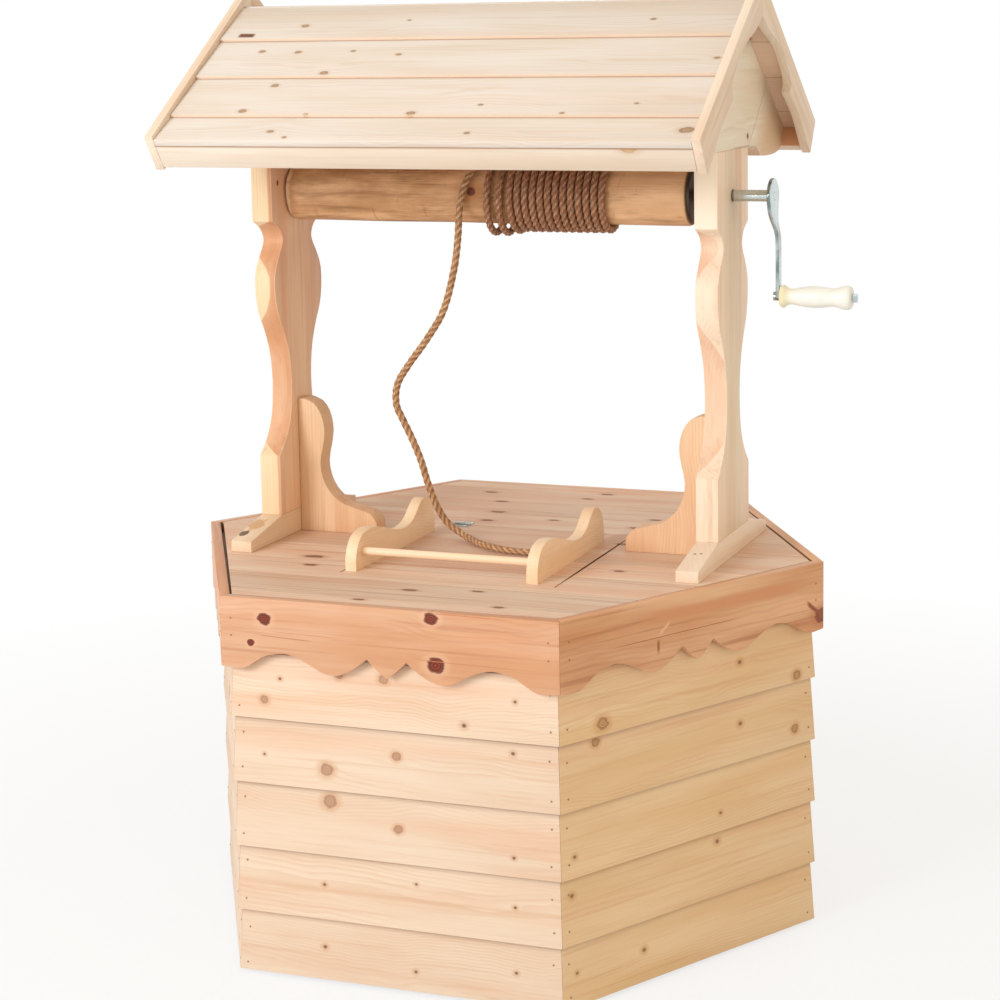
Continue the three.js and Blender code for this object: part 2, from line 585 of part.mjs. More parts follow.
function postFoot(side) {
  const outline = [
    [-FOOT_HALF_LENGTH, DECK_TOP], [FOOT_HALF_LENGTH, DECK_TOP],
    [FOOT_HALF_LENGTH, DECK_TOP + FOOT_END_HEIGHT], [POST_HALF_DEPTH, POST_BASE],
    [-POST_HALF_DEPTH, POST_BASE], [-FOOT_HALF_LENGTH, DECK_TOP + FOOT_END_HEIGHT],
  ];
  return plateAcross(outline, side < 0 ? -POST_OUTER : POST_INNER, TIMBER);
}
function gusset(side) {
  const seat = POST_INNER - FIT;
  const face = smoothRun(GUSSET_FACE_SHARES, GUSSET_REACH, GUSSET_HEIGHT);
  const local = [[0, 0], [GUSSET_REACH, 0], ...face, [0, GUSSET_HEIGHT]];
  return plateAlong(local.map(([reach, rise]) => [side * (seat - reach), DECK_TOP + rise]), 0, TIMBER);
}
function buildPosts() {
  for (const [side, name] of [[-1, 'left'], [1, 'right']]) {
    add(`post_foot_${name}`, postFoot(side), POST_PINE);
    add(`post_${name}`, post(side), POST_PINE);
    add(`gusset_${name}`, gusset(side), POST_PINE);
  }
}

// A place on the back slope: down the slope from the apex, and out from it
function onSlope(down, out) {
  return [
    down * Math.cos(PITCH) + out * Math.sin(PITCH),
    APEX_HEIGHT - down * Math.sin(PITCH) + out * Math.cos(PITCH),
  ];
}
function mirrorFront(outline, slope) {
  return slope < 0 ? outline.map(([y, z]) => [-y, z]) : outline;
}

// Four lapped boards: each lower edge stands out over the next board
function roofBoards(slope) {
  const outline = [onSlope(SLOPE_START, -ROOF_UNDERSIDE)];
  const laps = ROOF_LAP_SHARES.map((share) => SLOPE_START + share * (FASCIA_START - SLOPE_START));
  laps.forEach((start, i) => {
    const end = i + 1 < laps.length ? laps[i + 1] : FASCIA_START;
    outline.push(onSlope(start, -ROOF_SINK - ROOF_LIP));
    outline.push(onSlope(end, -ROOF_SINK));
  });
  outline.push(onSlope(FASCIA_START, -ROOF_UNDERSIDE));
  const half = BARGE_INNER - FIT;
  return plateAcross(mirrorFront(outline, slope), -half, half * 2);
}
function fascia(slope) {
  const start = FASCIA_START + FIT;
  const outline = [
    onSlope(start, -FASCIA_TOP), onSlope(SLOPE_LENGTH, -FASCIA_TOP),
    onSlope(SLOPE_LENGTH, -FASCIA_DEPTH), onSlope(start, -FASCIA_DEPTH),
  ];
  const half = BARGE_INNER - FIT;
  return plateAcross(mirrorFront(outline, slope), -half, half * 2);
}
// Barge board: its lower edge waves to a beak near the middle, and it is mitred with its fellow at the apex
function barge(slope, side) {
  const edge = [
    ...smoothRun(BARGE_UPPER_SHARES, SLOPE_LENGTH, BARGE_DEPTH),
    ...smoothRun(BARGE_LOWER_SHARES, SLOPE_LENGTH, BARGE_DEPTH).slice(1),
  ].map(([down, drop]) => onSlope(down, -drop));
  const outline = [onSlope(0, 0), ...edge, onSlope(SLOPE_LENGTH, 0)];
  const startX = side < 0 ? -BARGE_OUTER : BARGE_INNER;
  const plate = plateAcross(mirrorFront(outline, slope), startX, BARGE_THICK);
  const mitre = block(-BARGE_OUTER - OVERRUN, BARGE_OUTER + OVERRUN, -slope * SLOPE_LENGTH, slope * FIT / 2,
    0, APEX_HEIGHT + OVERRUN);
  return cut(plate, mitre);
}
// Gable: a board triangle on the post's top, with an arch and a nose on either side of it
function gable(side) {
  const ridge = onSlope(SLOPE_START, -ROOF_UNDERSIDE - FIT);
  const eaveTop = onSlope(FASCIA_START - FIT, -ROOF_UNDERSIDE - FIT);
  const eaveLow = onSlope(FASCIA_START - FIT, -FASCIA_DEPTH);
  const base = POST_TOP + FIT;
  const nose = eaveLow[1] - NOSE_DROP;
  const reach = eaveLow[0] - POST_HALF_DEPTH;
  const rise = base - nose;
  const under = [
    ...smoothRun(GABLE_ARCH_SHARES, reach, rise),
    ...smoothRun(GABLE_NOSE_SHARES, reach, rise).slice(1),
  ].map(([out, up]) => [POST_HALF_DEPTH + out, nose + up]);
  const half = [...under, eaveLow, eaveTop, ridge];
  const outline = [...half, ...half.slice().reverse().map(([y, z]) => [-y, z])];
  return plateAcross(outline, side < 0 ? -POST_OUTER : POST_INNER, TIMBER);
}
function ridgeCap() {
  const [halfWidth, seat] = onSlope(SLOPE_START, -ROOF_UNDERSIDE);
  const half = BARGE_INNER - FIT;
  return block(-half, half, -halfWidth + FIT, halfWidth - FIT, seat, seat + RIDGE_CAP_THICK);
}
function buildRoof() {
  for (const [slope, face] of [[-1, 'front'], [1, 'back']]) {
    add(`roof_boards_${face}`, roofBoards(slope), ROOF_PINE);
    add(`eave_fascia_${face}`, fascia(slope), ROOF_PINE);
    for (const [side, name] of [[-1, 'left'], [1, 'right']]) {
      add(`barge_${face}_${name}`, barge(slope, side), ROOF_PINE);
    }
  }
  add('gable_left', gable(-1), POST_PINE);
  add('gable_right', gable(1), POST_PINE);
  add('ridge_cap', ridgeCap(), ROOF_PINE);
}

// Windlass: a round pole on a pin and a crank shaft
function roller() {
  const pole = turned([
    [0, ROLLER_LEFT], [ROLLER_RADIUS - ROLLER_CHAMFER, ROLLER_LEFT],
    [ROLLER_RADIUS, ROLLER_LEFT + ROLLER_CHAMFER], [ROLLER_RADIUS, ROLLER_RIGHT - ROLLER_CHAMFER],
    [ROLLER_RADIUS - ROLLER_CHAMFER, ROLLER_RIGHT], [0, ROLLER_RIGHT],
  ], 0, ROLLER_AXIS_HEIGHT);
  return cut(pole, rod(PIN_RADIUS + FIT, ROLLER_LEFT - OVERRUN, ROLLER_LEFT + PIN_IN_ROLLER + FIT,
    0, ROLLER_AXIS_HEIGHT));
}
function crankShaft() {
  const plateEnd = ROLLER_RIGHT + PLATE_THICK;
  const armEnd = ARM_INNER + ARM_THICK;
  return turned([
    [0, ROLLER_RIGHT], [PLATE_RADIUS, ROLLER_RIGHT], [PLATE_RADIUS, plateEnd], [SHAFT_RADIUS, plateEnd],
    [SHAFT_RADIUS, ARM_INNER - FIT], [SPIGOT_RADIUS, ARM_INNER - FIT], [SPIGOT_RADIUS, armEnd], [0, armEnd],
  ], 0, ROLLER_AXIS_HEIGHT);
}
// Crank arm: a round head drawn down to a narrow bar that steps out past the post
function crankArm() {
  const face = new THREE.Path();
  face.absarc(0, 0, ARM_HEAD_RADIUS, -SIDE_ANGLE, Math.PI + SIDE_ANGLE, false);
  const headEnd = face.currentPoint.clone();
  const draw = ARM_HEAD_RADIUS / 2;
  face.bezierCurveTo(headEnd.x, headEnd.y - draw, -ARM_TIP_RADIUS, -ARM_NECK + draw,
    -ARM_TIP_RADIUS, -ARM_NECK);
  face.lineTo(-ARM_TIP_RADIUS, -ARM_LENGTH);
  face.absarc(0, -ARM_LENGTH, ARM_TIP_RADIUS, Math.PI, 2 * Math.PI, false);
  face.lineTo(ARM_TIP_RADIUS, -ARM_NECK);
  face.bezierCurveTo(ARM_TIP_RADIUS, -ARM_NECK + draw, -headEnd.x, headEnd.y - draw, -headEnd.x, headEnd.y);
  const outline = face.getPoints(CURVE_STEPS).map((point) => [point.x, ROLLER_AXIS_HEIGHT + point.y]);
  const plan = plateAcross(outline, ARM_INNER - OVERRUN, ARM_THICK + ARM_OFFSET + OVERRUN * 2);
  const headLow = ROLLER_AXIS_HEIGHT - ARM_HEAD_RADIUS / 2;
  const neckLow = ROLLER_AXIS_HEIGHT - ARM_BEND;
  const top = ROLLER_AXIS_HEIGHT + ARM_HEAD_RADIUS + OVERRUN;
  const bottom = GRIP_AXIS_HEIGHT - ARM_TIP_RADIUS - OVERRUN;
  const inner = new THREE.Path(new THREE.CubicBezierCurve(
    new THREE.Vector2(ARM_INNER, headLow), new THREE.Vector2(ARM_INNER, (headLow + neckLow) / 2),
    new THREE.Vector2(ARM_TIP_INNER, (headLow + neckLow) / 2), new THREE.Vector2(ARM_TIP_INNER, neckLow),
  ).getPoints(CURVE_STEPS)).getPoints();
  const edge = [[ARM_INNER, top], ...inner.map((point) => [point.x, point.y]), [ARM_TIP_INNER, bottom]];
  const bent = [...edge, ...edge.slice().reverse().map(([x, z]) => [x + ARM_THICK, z])];
  const arm = overlap(plan, plateAlong(bent, 0, ARM_HEAD_RADIUS * 2 + OVERRUN));
  return cut(arm,
    rod(SPIGOT_RADIUS + FIT, ARM_INNER - OVERRUN, ARM_INNER + ARM_THICK + OVERRUN, 0, ROLLER_AXIS_HEIGHT),
    rod(BOLT_RADIUS + FIT, ARM_TIP_INNER - OVERRUN, ARM_TIP_INNER + ARM_THICK + OVERRUN,
      0, GRIP_AXIS_HEIGHT));
}
function grip() {
  const skin = smoothRun(GRIP_SHARES, GRIP_LENGTH, GRIP_RADIUS)
    .map(([along, radius]) => [radius, GRIP_START + along]);
  const bore = BOLT_RADIUS + TURN_FIT;
  const profile = [[bore, GRIP_START], ...skin, [bore, GRIP_START + GRIP_LENGTH], [bore, GRIP_START]];
  return turned(profile, 0, GRIP_AXIS_HEIGHT, ROUND_SEGMENTS / 2);
}
function gripBolt() {
  const headStart = ARM_TIP_INNER - FIT - BOLT_HEAD_THICK;
  const nutStart = GRIP_START + GRIP_LENGTH + TURN_FIT;
  const stem = turned([
    [0, headStart], [BOLT_HEAD_RADIUS, headStart], [BOLT_HEAD_RADIUS, ARM_TIP_INNER - FIT],
    [BOLT_RADIUS, ARM_TIP_INNER - FIT], [BOLT_RADIUS, nutStart + NUT_THICK + FIT],
    [0, nutStart + NUT_THICK + FIT],
  ], 0, GRIP_AXIS_HEIGHT, SMALL_SEGMENTS);
  return join(stem, rod(NUT_RADIUS, nutStart, nutStart + NUT_THICK, 0, GRIP_AXIS_HEIGHT, SIDES));
}
function buildWindlass() {
  add('roller', roller(), ROUND_POLE);
  const pinStart = -POST_INNER - PIN_IN_POST + FIT;
  const pin = rod(PIN_RADIUS, pinStart, ROLLER_LEFT + PIN_IN_ROLLER, 0, ROLLER_AXIS_HEIGHT);
  add('pivot_pin', pin, BRIGHT_STEEL);
  add('crank_shaft', crankShaft(), BRIGHT_STEEL);
  add('crank_arm', crankArm(), BRIGHT_STEEL);
  add('crank_grip', grip(), IVORY_GRIP);
  add('grip_bolt', gripBolt(), BRIGHT_STEEL);
}

// Rope wound on the roller: one helix whose first turns hang loose, with straight ends
function coilPoint(turns) {
  const angle = 2 * Math.PI * turns;
  const loose = Math.max(0, Math.min(1, ROPE_SAG_TURNS - Math.abs(turns - ROPE_SAG_TURNS / 2)));
  const under = Math.max(0, -Math.cos(angle));
  const radius = COIL_RADIUS + SAG_DEPTH * loose * under * under;
  return new THREE.Vector3(
    ROPE_START_X + ROPE_PITCH * turns + LOOSE_SPREAD * Math.min(1, turns / LOOSE_TURNS),
    Math.sin(angle) * radius,
    ROLLER_AXIS_HEIGHT + Math.cos(angle) * radius,
  );
}
function coilRoute() {
  const points = [];
  for (let i = 0; i <= ROPE_TURNS * COIL_STEPS; i += 1) points.push(coilPoint(i / COIL_STEPS));
  const first = points[0];
  points.unshift(new THREE.Vector3(first.x, first.y - ROPE_LEAD + FIT, first.z));
  const last = points[points.length - 1];
  points.push(new THREE.Vector3(last.x, last.y + ROPE_LEAD, last.z));
  return points;
}
// A closed tube through points, its sections square to the route and level with the axis
function woundTube(points, radius, sides) {
  const corners = [];
  const index = [];
  const last = points.length - 1;
  points.forEach((point, i) => {
    const ahead = points[Math.min(i + 1, last)];
    const behind = points[Math.max(i - 1, 0)];
    const tangent = ahead.clone().sub(behind).normalize();
    const across = new THREE.Vector3(1, 0, 0).addScaledVector(tangent, -tangent.x).normalize();
    const up = new THREE.Vector3().crossVectors(tangent, across);
    for (let k = 0; k < sides; k += 1) {
      const turn = (2 * Math.PI * (k + 1 / 2)) / sides;
      const corner = point.clone();
      corner.addScaledVector(across, Math.cos(turn) * radius);
      corner.addScaledVector(up, Math.sin(turn) * radius);
      corners.push(corner.x, corner.y, corner.z);
    }
  });
  for (let i = 0; i < last; i += 1) {
    for (let k = 0; k < sides; k += 1) {
      const next = (k + 1) % sides;
      const [a, b, c, d] = [i * sides + k, i * sides + next, (i + 1) * sides + next, (i + 1) * sides + k];
      index.push(a, b, c, a, c, d);
    }
  }
  for (let k = 1; k < sides - 1; k += 1) {
    index.push(0, k + 1, k);
    index.push(last * sides, last * sides + k, last * sides + k + 1);
  }
  const geometry = new THREE.BufferGeometry();
  geometry.setAttribute('position', new THREE.Float32BufferAttribute(corners, 3));
  geometry.setIndex(index);
  return geometry;
}
// The least distance between turns, less the rope's thickness
function leastGap(points) {
  let least = Infinity;
  for (let i = 0; i < points.length; i += 1) {
    for (let j = i + COIL_STEPS / 2; j < points.length; j += 1) {
      least = Math.min(least, points[i].distanceTo(points[j]));
    }
  }
  return least - 2 * ROPE_RADIUS;
}
function ropeTail() {
  const route = new THREE.CatmullRomCurve3(TAIL_ROUTE.map(([x, y, z]) => new THREE.Vector3(x, y, z)));
  const section = new THREE.Shape();
  for (let k = 0; k <= TAIL_SIDES; k += 1) {
    const turn = (2 * Math.PI * (k + 1 / 2)) / TAIL_SIDES;
    const corner = [Math.cos(turn) * ROPE_RADIUS, Math.sin(turn) * ROPE_RADIUS];
    if (k === 0) section.moveTo(...corner);
    else section.lineTo(...corner);
  }
  return new THREE.ExtrudeGeometry(section, { steps: TAIL_STEPS, bevelEnabled: false, extrudePath: route });
}
function buildRope() {
  const route = coilRoute();
  console.log(`least gap of the rope winding to itself: ${leastGap(route).toFixed(2)} mm`);
  add('rope_coil', woundTube(route, ROPE_RADIUS, COIL_SIDES), ROPE);
  add('rope_tail', ropeTail(), ROPE);
}

buildSides();
buildDeck();
buildHatch();
buildHinges();
buildPosts();
buildRoof();
buildWindlass();
buildRope();

const CRANK_END = GRIP_START + GRIP_LENGTH + TURN_FIT + NUT_THICK + FIT;
well.position.x = (APRON_OUTER / Math.cos(SIDE_ANGLE) - CRANK_END) / 2;

export default well;
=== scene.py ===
import math
import random

import bpy
from mathutils import Matrix, Vector


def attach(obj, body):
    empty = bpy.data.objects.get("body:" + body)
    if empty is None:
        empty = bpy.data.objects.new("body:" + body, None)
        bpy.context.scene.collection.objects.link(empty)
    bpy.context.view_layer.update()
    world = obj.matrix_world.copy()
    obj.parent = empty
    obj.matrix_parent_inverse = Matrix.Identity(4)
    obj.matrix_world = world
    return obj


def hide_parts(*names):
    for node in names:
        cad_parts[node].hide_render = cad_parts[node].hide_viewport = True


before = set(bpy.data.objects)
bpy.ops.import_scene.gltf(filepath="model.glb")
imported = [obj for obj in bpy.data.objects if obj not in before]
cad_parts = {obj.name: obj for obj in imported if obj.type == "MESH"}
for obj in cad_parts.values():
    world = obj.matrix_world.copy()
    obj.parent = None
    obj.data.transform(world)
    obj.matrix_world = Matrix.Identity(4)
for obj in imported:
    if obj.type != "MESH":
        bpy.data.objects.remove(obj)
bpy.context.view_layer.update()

# Camera
# It stands to the right of the well's front, a little above the roof's eaves, and looks
# slightly down. The shift keeps the photograph's off-centre crop.
middle_x = -0.02575  # the hexagon's centre
camera_place = Vector((1.337 + middle_x, -3.354, 1.391))
camera_turn = math.radians(19.23)
camera_dip = math.radians(8.23)
camera_roll = math.radians(-0.68)
lens_data = bpy.data.cameras.new("camera")
film_width = 36
lens_data.sensor_width = film_width
lens_data.lens = film_width * 2.272  # fitted to the photograph
lens_data.shift_x = -0.098
lens_data.shift_y = -0.134
camera = bpy.data.objects.new("camera", lens_data)
bpy.context.collection.objects.link(camera)
ahead = Vector((-math.sin(camera_turn) * math.cos(camera_dip),
                math.cos(camera_turn) * math.cos(camera_dip), -math.sin(camera_dip)))
level = Vector((math.cos(camera_turn), math.sin(camera_turn), 0))
upright = level.cross(ahead)
right = level * math.cos(camera_roll) + upright * math.sin(camera_roll)
top = upright * math.cos(camera_roll) - level * math.sin(camera_roll)
camera.matrix_world = Matrix.Translation(camera_place) @ Matrix((right, top, -ahead)).transposed().to_4x4()
bpy.context.scene.camera = camera

# Studio
# A pale floor and soft light: a wide lamp from the front left, a weak warm one from the right,
# a weak one from above, and an even sky. The camera sees plain white round the well.
bpy.context.scene.view_settings.view_transform = "Standard"


def soft_lamp(name, place, aim, width, power, tint):
    """A round lamp that looks from its place at the aim."""
    lamp_data = bpy.data.lights.new(name, "AREA")
    lamp_data.shape = "DISK"
    lamp_data.size = width
    lamp_data.energy = power
    lamp_data.color = tint
    lamp = bpy.data.objects.new(name, lamp_data)
    bpy.context.collection.objects.link(lamp)
    lamp.location = place
    lamp.rotation_euler = (Vector(aim) - Vector(place)).to_track_quat("-Z", "Y").to_euler()


def seen_or_mirrored(tree):
    """1 for what the camera sees straight or in a mirror, 0 for light that falls on the well."""
    ray = tree.nodes.new("ShaderNodeLightPath")
    either = tree.nodes.new("ShaderNodeMath")
    either.operation = "MAXIMUM"
    tree.links.new(ray.outputs["Is Camera Ray"], either.inputs[0])
    tree.links.new(ray.outputs["Is Glossy Ray"], either.inputs[1])
    return either.outputs[0]


soft_lamp("key_lamp", (-2.0, -4.6, 2.5), (0, 0, 0.8), 2.4, 150, (1, 1, 1))
soft_lamp("side_lamp", (4.2, -1.6, 2.2), (0, 0, 0.8), 2.6, 15.5, (1, 0.56, 0.2))
soft_lamp("top_lamp", (0.3, 1.5, 4.6), (0, 0, 0.6), 3.0, 9, (1, 1, 1))

sky = bpy.data.worlds.new("sky")
bpy.context.scene.world = sky
sky.use_nodes = True
sky_nodes = sky.node_tree.nodes
sky_links = sky.node_tree.links
even_sky = sky_nodes["Background"]
even_sky.inputs["Color"].default_value = (1, 0.856, 0.68, 1)
even_sky.inputs["Strength"].default_value = 0.775
white_sky = sky_nodes.new("ShaderNodeBackground")
white_sky.inputs["Color"].default_value = (1, 1, 1, 1)
white_sky.inputs["Strength"].default_value = 1
sky_mix = sky_nodes.new("ShaderNodeMixShader")
sky_links.new(seen_or_mirrored(sky.node_tree), sky_mix.inputs[0])
sky_links.new(even_sky.outputs[0], sky_mix.inputs[1])
sky_links.new(white_sky.outputs[0], sky_mix.inputs[2])
sky_links.new(sky_mix.outputs[0], sky_nodes["World Output"].inputs["Surface"])

bpy.ops.object.select_all(action="DESELECT")
bpy.ops.mesh.primitive_plane_add(size=14)
floor = bpy.context.object
floor.name = "floor"
floor_finish = bpy.data.materials.new("pale_floor")
floor_finish.use_nodes = True
floor_nodes = floor_finish.node_tree.nodes
floor_links = floor_finish.node_tree.links
lit_floor = floor_nodes["Principled BSDF"]
lit_floor.inputs["Base Color"].default_value = (0.82, 0.88, 0.95, 1)
lit_floor.inputs["Roughness"].default_value = 0.9
plain_white = floor_nodes.new("ShaderNodeEmission")
floor_place = floor_nodes.new("ShaderNodeTexCoord")
from_well = floor_nodes.new("ShaderNodeVectorMath")
from_well.operation = "LENGTH"
floor_links.new(floor_place.outputs["Object"], from_well.inputs[0])
# Near the well a quarter of the lit floor shows, and far from it only the plain white
white_fade = floor_nodes.new("ShaderNodeMapRange")
white_fade.inputs["From Min"].default_value = 0.9
white_fade.inputs["From Max"].default_value = 2.2
white_fade.inputs["To Min"].default_value = 0.74
floor_links.new(from_well.outputs["Value"], white_fade.inputs["Value"])
white_share = floor_nodes.new("ShaderNodeMath")
white_share.operation = "MULTIPLY"
floor_links.new(white_fade.outputs["Result"], white_share.inputs[0])
floor_links.new(seen_or_mirrored(floor_finish.node_tree), white_share.inputs[1])
floor_mix = floor_nodes.new("ShaderNodeMixShader")
floor_links.new(white_share.outputs[0], floor_mix.inputs[0])
floor_links.new(lit_floor.outputs[0], floor_mix.inputs[1])
floor_links.new(plain_white.outputs[0], floor_mix.inputs[2])
floor_links.new(floor_mix.outputs[0], floor_nodes["Material Output"].inputs["Surface"])
floor.data.materials.append(floor_finish)

# Rope
# Three-strand laid natural rope, 12 mm thick. It is wound on the roller, its first turns
# hanging loose, and its free end falls over the front on to the hatch.
rope_radius = 0.006
rope_lay = 0.037  # length of one full twist of the strands
axis_height = 1.149
coil_turns = 15
coil_pitch = 0.01265
coil_start_x = -0.010 + middle_x
coil_radius = 0.05578
coil_sag = 0.007
sag_turns = 2
spread_turns, spread = 2.4, 0.0187  # the first turns lie further apart
start_lead, end_lead = 0.0117, 0.012  # straight rope before and after the turns
turn_steps = 36
coil_path = []
for step in range(coil_turns * turn_steps + 1):
    turns = step / turn_steps
    angle = 2 * math.pi * turns
    loose = max(0.0, min(1.0, sag_turns - abs(turns - sag_turns / 2)))
    under = max(0.0, -math.cos(angle))
    reach = coil_radius + coil_sag * loose * under * under
    along_roller = coil_start_x + coil_pitch * turns + spread * min(1, turns / spread_turns)
    coil_path.append(Vector((along_roller, math.sin(angle) * reach, axis_height + math.cos(angle) * reach)))
coil_path.insert(0, coil_path[0] - Vector((0, start_lead, 0)))
coil_path.append(coil_path[-1] + Vector((0, end_lead, 0)))

# The hanging end's route, in millimetres from the hexagon's centre
tail_route = [
    (-10, -12, 1204.77), (-10, -17, 1204.77), (-15, -34, 1197.5), (-26, -50, 1178), (-35, -58, 1152),
    (-40, -60, 1120), (-43, -60, 1080), (-51, -60, 1030), (-71, -58, 966), (-102, -56, 918),
    (-135, -52, 877), (-158, -48, 843), (-163, -44, 810), (-154, -40, 784), (-140, -36, 752),
    (-127, -32, 716), (-118, -28, 680), (-107, -23, 645), (-91, -16, 614), (-64, -18, 596.5),
    (-35, -40, 591.7), (-2, -68, 591.7), (38, -88, 591.7), (80, -94, 591.7), (124, -92, 591.7),
]


def evenly(points, spacing):
    """The same line with points at one spacing."""
    reached = [0.0]
    for near, far in zip(points, points[1:]):
        reached.append(reached[-1] + (far - near).length)
    count = max(2, round(reached[-1] / spacing))
    line, place = [], 0
    for step in range(count + 1):
        along = reached[-1] * step / count
        while place < len(points) - 2 and reached[place + 1] < along:
            place += 1
        share = (along - reached[place]) / (reached[place + 1] - reached[place])
        line.append(points[place].lerp(points[place + 1], share))
    return line


def rounded(knots, pieces):
    """A smooth line through the knots of a route."""
    ends = [knots[0] * 2 - knots[1], *knots, knots[-1] * 2 - knots[-2]]
    line = []
    for a, b, c, d in zip(ends, ends[1:], ends[2:], ends[3:]):
        for step in range(pieces):
            t = step / pieces
            line.append((b * 2 + (c - a) * t + (a * 2 - b * 5 + c * 4 - d) * t * t
                         + (b * 3 - a - c * 3 + d) * t * t * t) / 2)
    line.append(knots[-1])
    return line


def laid_rope(name, path):
    """A rope of three strands that twist round each other along the path."""
    around = 18  # corners round the rope
    spacing, tip = 0.0026, 0.002  # from ring to ring, and the length of a rounded end
    line = evenly(path, spacing)
    normal = Vector((1, 0, 0))
    corners, faces, marks = [], [], []
    run = 0.0
    for i, point in enumerate(line):
        forward = (line[min(i + 1, len(line) - 1)] - line[max(i - 1, 0)]).normalized()
        normal = (normal - forward * normal.dot(forward)).normalized()
        across = forward.cross(normal)
        if i:
            run += (point - line[i - 1]).length
        still_to_run = (len(line) - 1 - i) * spacing
        end_share = min(1.0, (run + tip) / (2 * tip), (tip + still_to_run) / (2 * tip))
        for k in range(around):
            lobe = 2 * math.pi * k / around
            off = (lobe + math.pi / 3) % (2 * math.pi / 3) - math.pi / 3
            # The outline of a round strand, measured from the rope's middle
            strand = 0.5 * math.cos(off) + math.sqrt(max(0.0, 0.25 - (0.5 * math.sin(off)) ** 2))
            strand = 0.55 + 0.45 * strand  # hard laid, so the strands press flat
            turn = lobe + 2 * math.pi * run / rope_lay
            reach = rope_radius * strand * end_share
            corners.append(point + normal * (math.cos(turn) * reach) + across * (math.sin(turn) * reach))
        marks.append(run)
    rings = len(line)
    for i in range(rings - 1):
        for k in range(around):
            after = (k + 1) % around
            this_ring, next_ring = i * around, (i + 1) * around
            faces.append((this_ring + k, this_ring + after, next_ring + after, next_ring + k))
    faces.append(tuple(reversed(range(around))))
    faces.append(tuple(range((rings - 1) * around, rings * around)))
    mesh = bpy.data.meshes.new(name)
    mesh.from_pydata([tuple(c) for c in corners], [], faces)
    lie = mesh.uv_layers.new(name="lie")
    for face in mesh.polygons:
        ring, side = divmod(face.index, around)
        for at, loop in enumerate(face.loop_indices):
            if face.index < (rings - 1) * around:
                row = ring + (1 if at in (2, 3) else 0)
                column = side + (1 if at in (1, 2) else 0)
                lie.data[loop].uv = (marks[row], column / around)
            else:
                lie.data[loop].uv = (0.0, 0.5)
    for face in mesh.polygons:
        face.use_smooth = True
    mesh.update()
    rope = bpy.data.objects.new(name, mesh)
    bpy.context.collection.objects.link(rope)
    return rope, line


def linear(code):
    """A colour written as on paper, as the shader wants it."""
    parts = [int(code[i:i + 2], 16) / 255 for i in (1, 3, 5)]
    return tuple(p / 12.92 if p <= 0.04045 else ((p + 0.055) / 1.055) ** 2.4 for p in parts) + (1,)


class Finish:
    """A material whose pattern is built node by node."""

    def __init__(self, name):
        self.material = bpy.data.materials.new(name)
        self.material.use_nodes = True
        self.tree = self.material.node_tree
        self.shader = self.tree.nodes["Principled BSDF"]
        self.place = self.tree.nodes.new("ShaderNodeTexCoord")

    def join(self, source, target):
        """Leads one socket into another, or sets a plain value there."""
        if hasattr(source, "is_output"):
            self.tree.links.new(source, target)
        else:
            target.default_value = source

    def maths(self, kind, *values):
        """One sum with one or two values."""
        node = self.tree.nodes.new("ShaderNodeMath")
        node.operation = kind
        for value, target in zip(values, node.inputs):
            self.join(value, target)
        return node.outputs[0]

    def plus(self, first, second):
        return self.maths("ADD", first, second)

    def minus(self, first, second):
        return self.maths("SUBTRACT", first, second)

    def times(self, first, second):
        return self.maths("MULTIPLY", first, second)

    def over(self, first, second):
        return self.maths("DIVIDE", first, second)

    def vector(self, kind, *values, out=0):
        """One sum with vectors. Its second output is a plain value."""
        node = self.tree.nodes.new("ShaderNodeVectorMath")
        node.operation = kind
        for value, target in zip(values, node.inputs):
            self.join(value, target)
        return node.outputs[out]

    def together(self, x, y, z):
        """A vector out of three values."""
        node = self.tree.nodes.new("ShaderNodeCombineXYZ")
        for value, target in zip((x, y, z), node.inputs):
            self.join(value, target)
        return node.outputs[0]

    def apart(self, source):
        """The three values of a vector."""
        node = self.tree.nodes.new("ShaderNodeSeparateXYZ")
        self.join(source, node.inputs[0])
        return list(node.outputs)

    def noise(self, source, scale, detail=3.0, rough=0.55, distort=0.0):
        """Clouds between 0 and 1."""
        node = self.tree.nodes.new("ShaderNodeTexNoise")
        self.join(source, node.inputs["Vector"])
        node.inputs["Scale"].default_value = scale
        node.inputs["Detail"].default_value = detail
        node.inputs["Roughness"].default_value = rough
        node.inputs["Distortion"].default_value = distort
        return node.outputs["Fac"]

    def ease(self, value, low, high, to_low=0.0, to_high=1.0):
        """Goes softly from to_low to to_high while the value goes from low to high."""
        node = self.tree.nodes.new("ShaderNodeMapRange")
        node.interpolation_type = "SMOOTHSTEP"
        self.join(value, node.inputs["Value"])
        for mark, name in ((low, "From Min"), (high, "From Max"), (to_low, "To Min"), (to_high, "To Max")):
            self.join(mark, node.inputs[name])
        return node.outputs["Result"]

    def blend(self, share, first, second, kind="MIX"):
        """The first colour with a share of the second."""
        node = self.tree.nodes.new("ShaderNodeMix")
        node.data_type = "RGBA"
        node.blend_type = kind
        self.join(share, node.inputs["Factor"])
        self.join(first, node.inputs[6])
        self.join(second, node.inputs[7])
        return node.outputs[2]

    def bump(self, height, strength, distance):
        """A fine relief on the surface."""
        node = self.tree.nodes.new("ShaderNodeBump")
        node.inputs["Strength"].default_value = strength
        node.inputs["Distance"].default_value = distance
        self.join(height, node.inputs["Height"])
        self.tree.links.new(node.outputs[0], self.shader.inputs["Normal"])


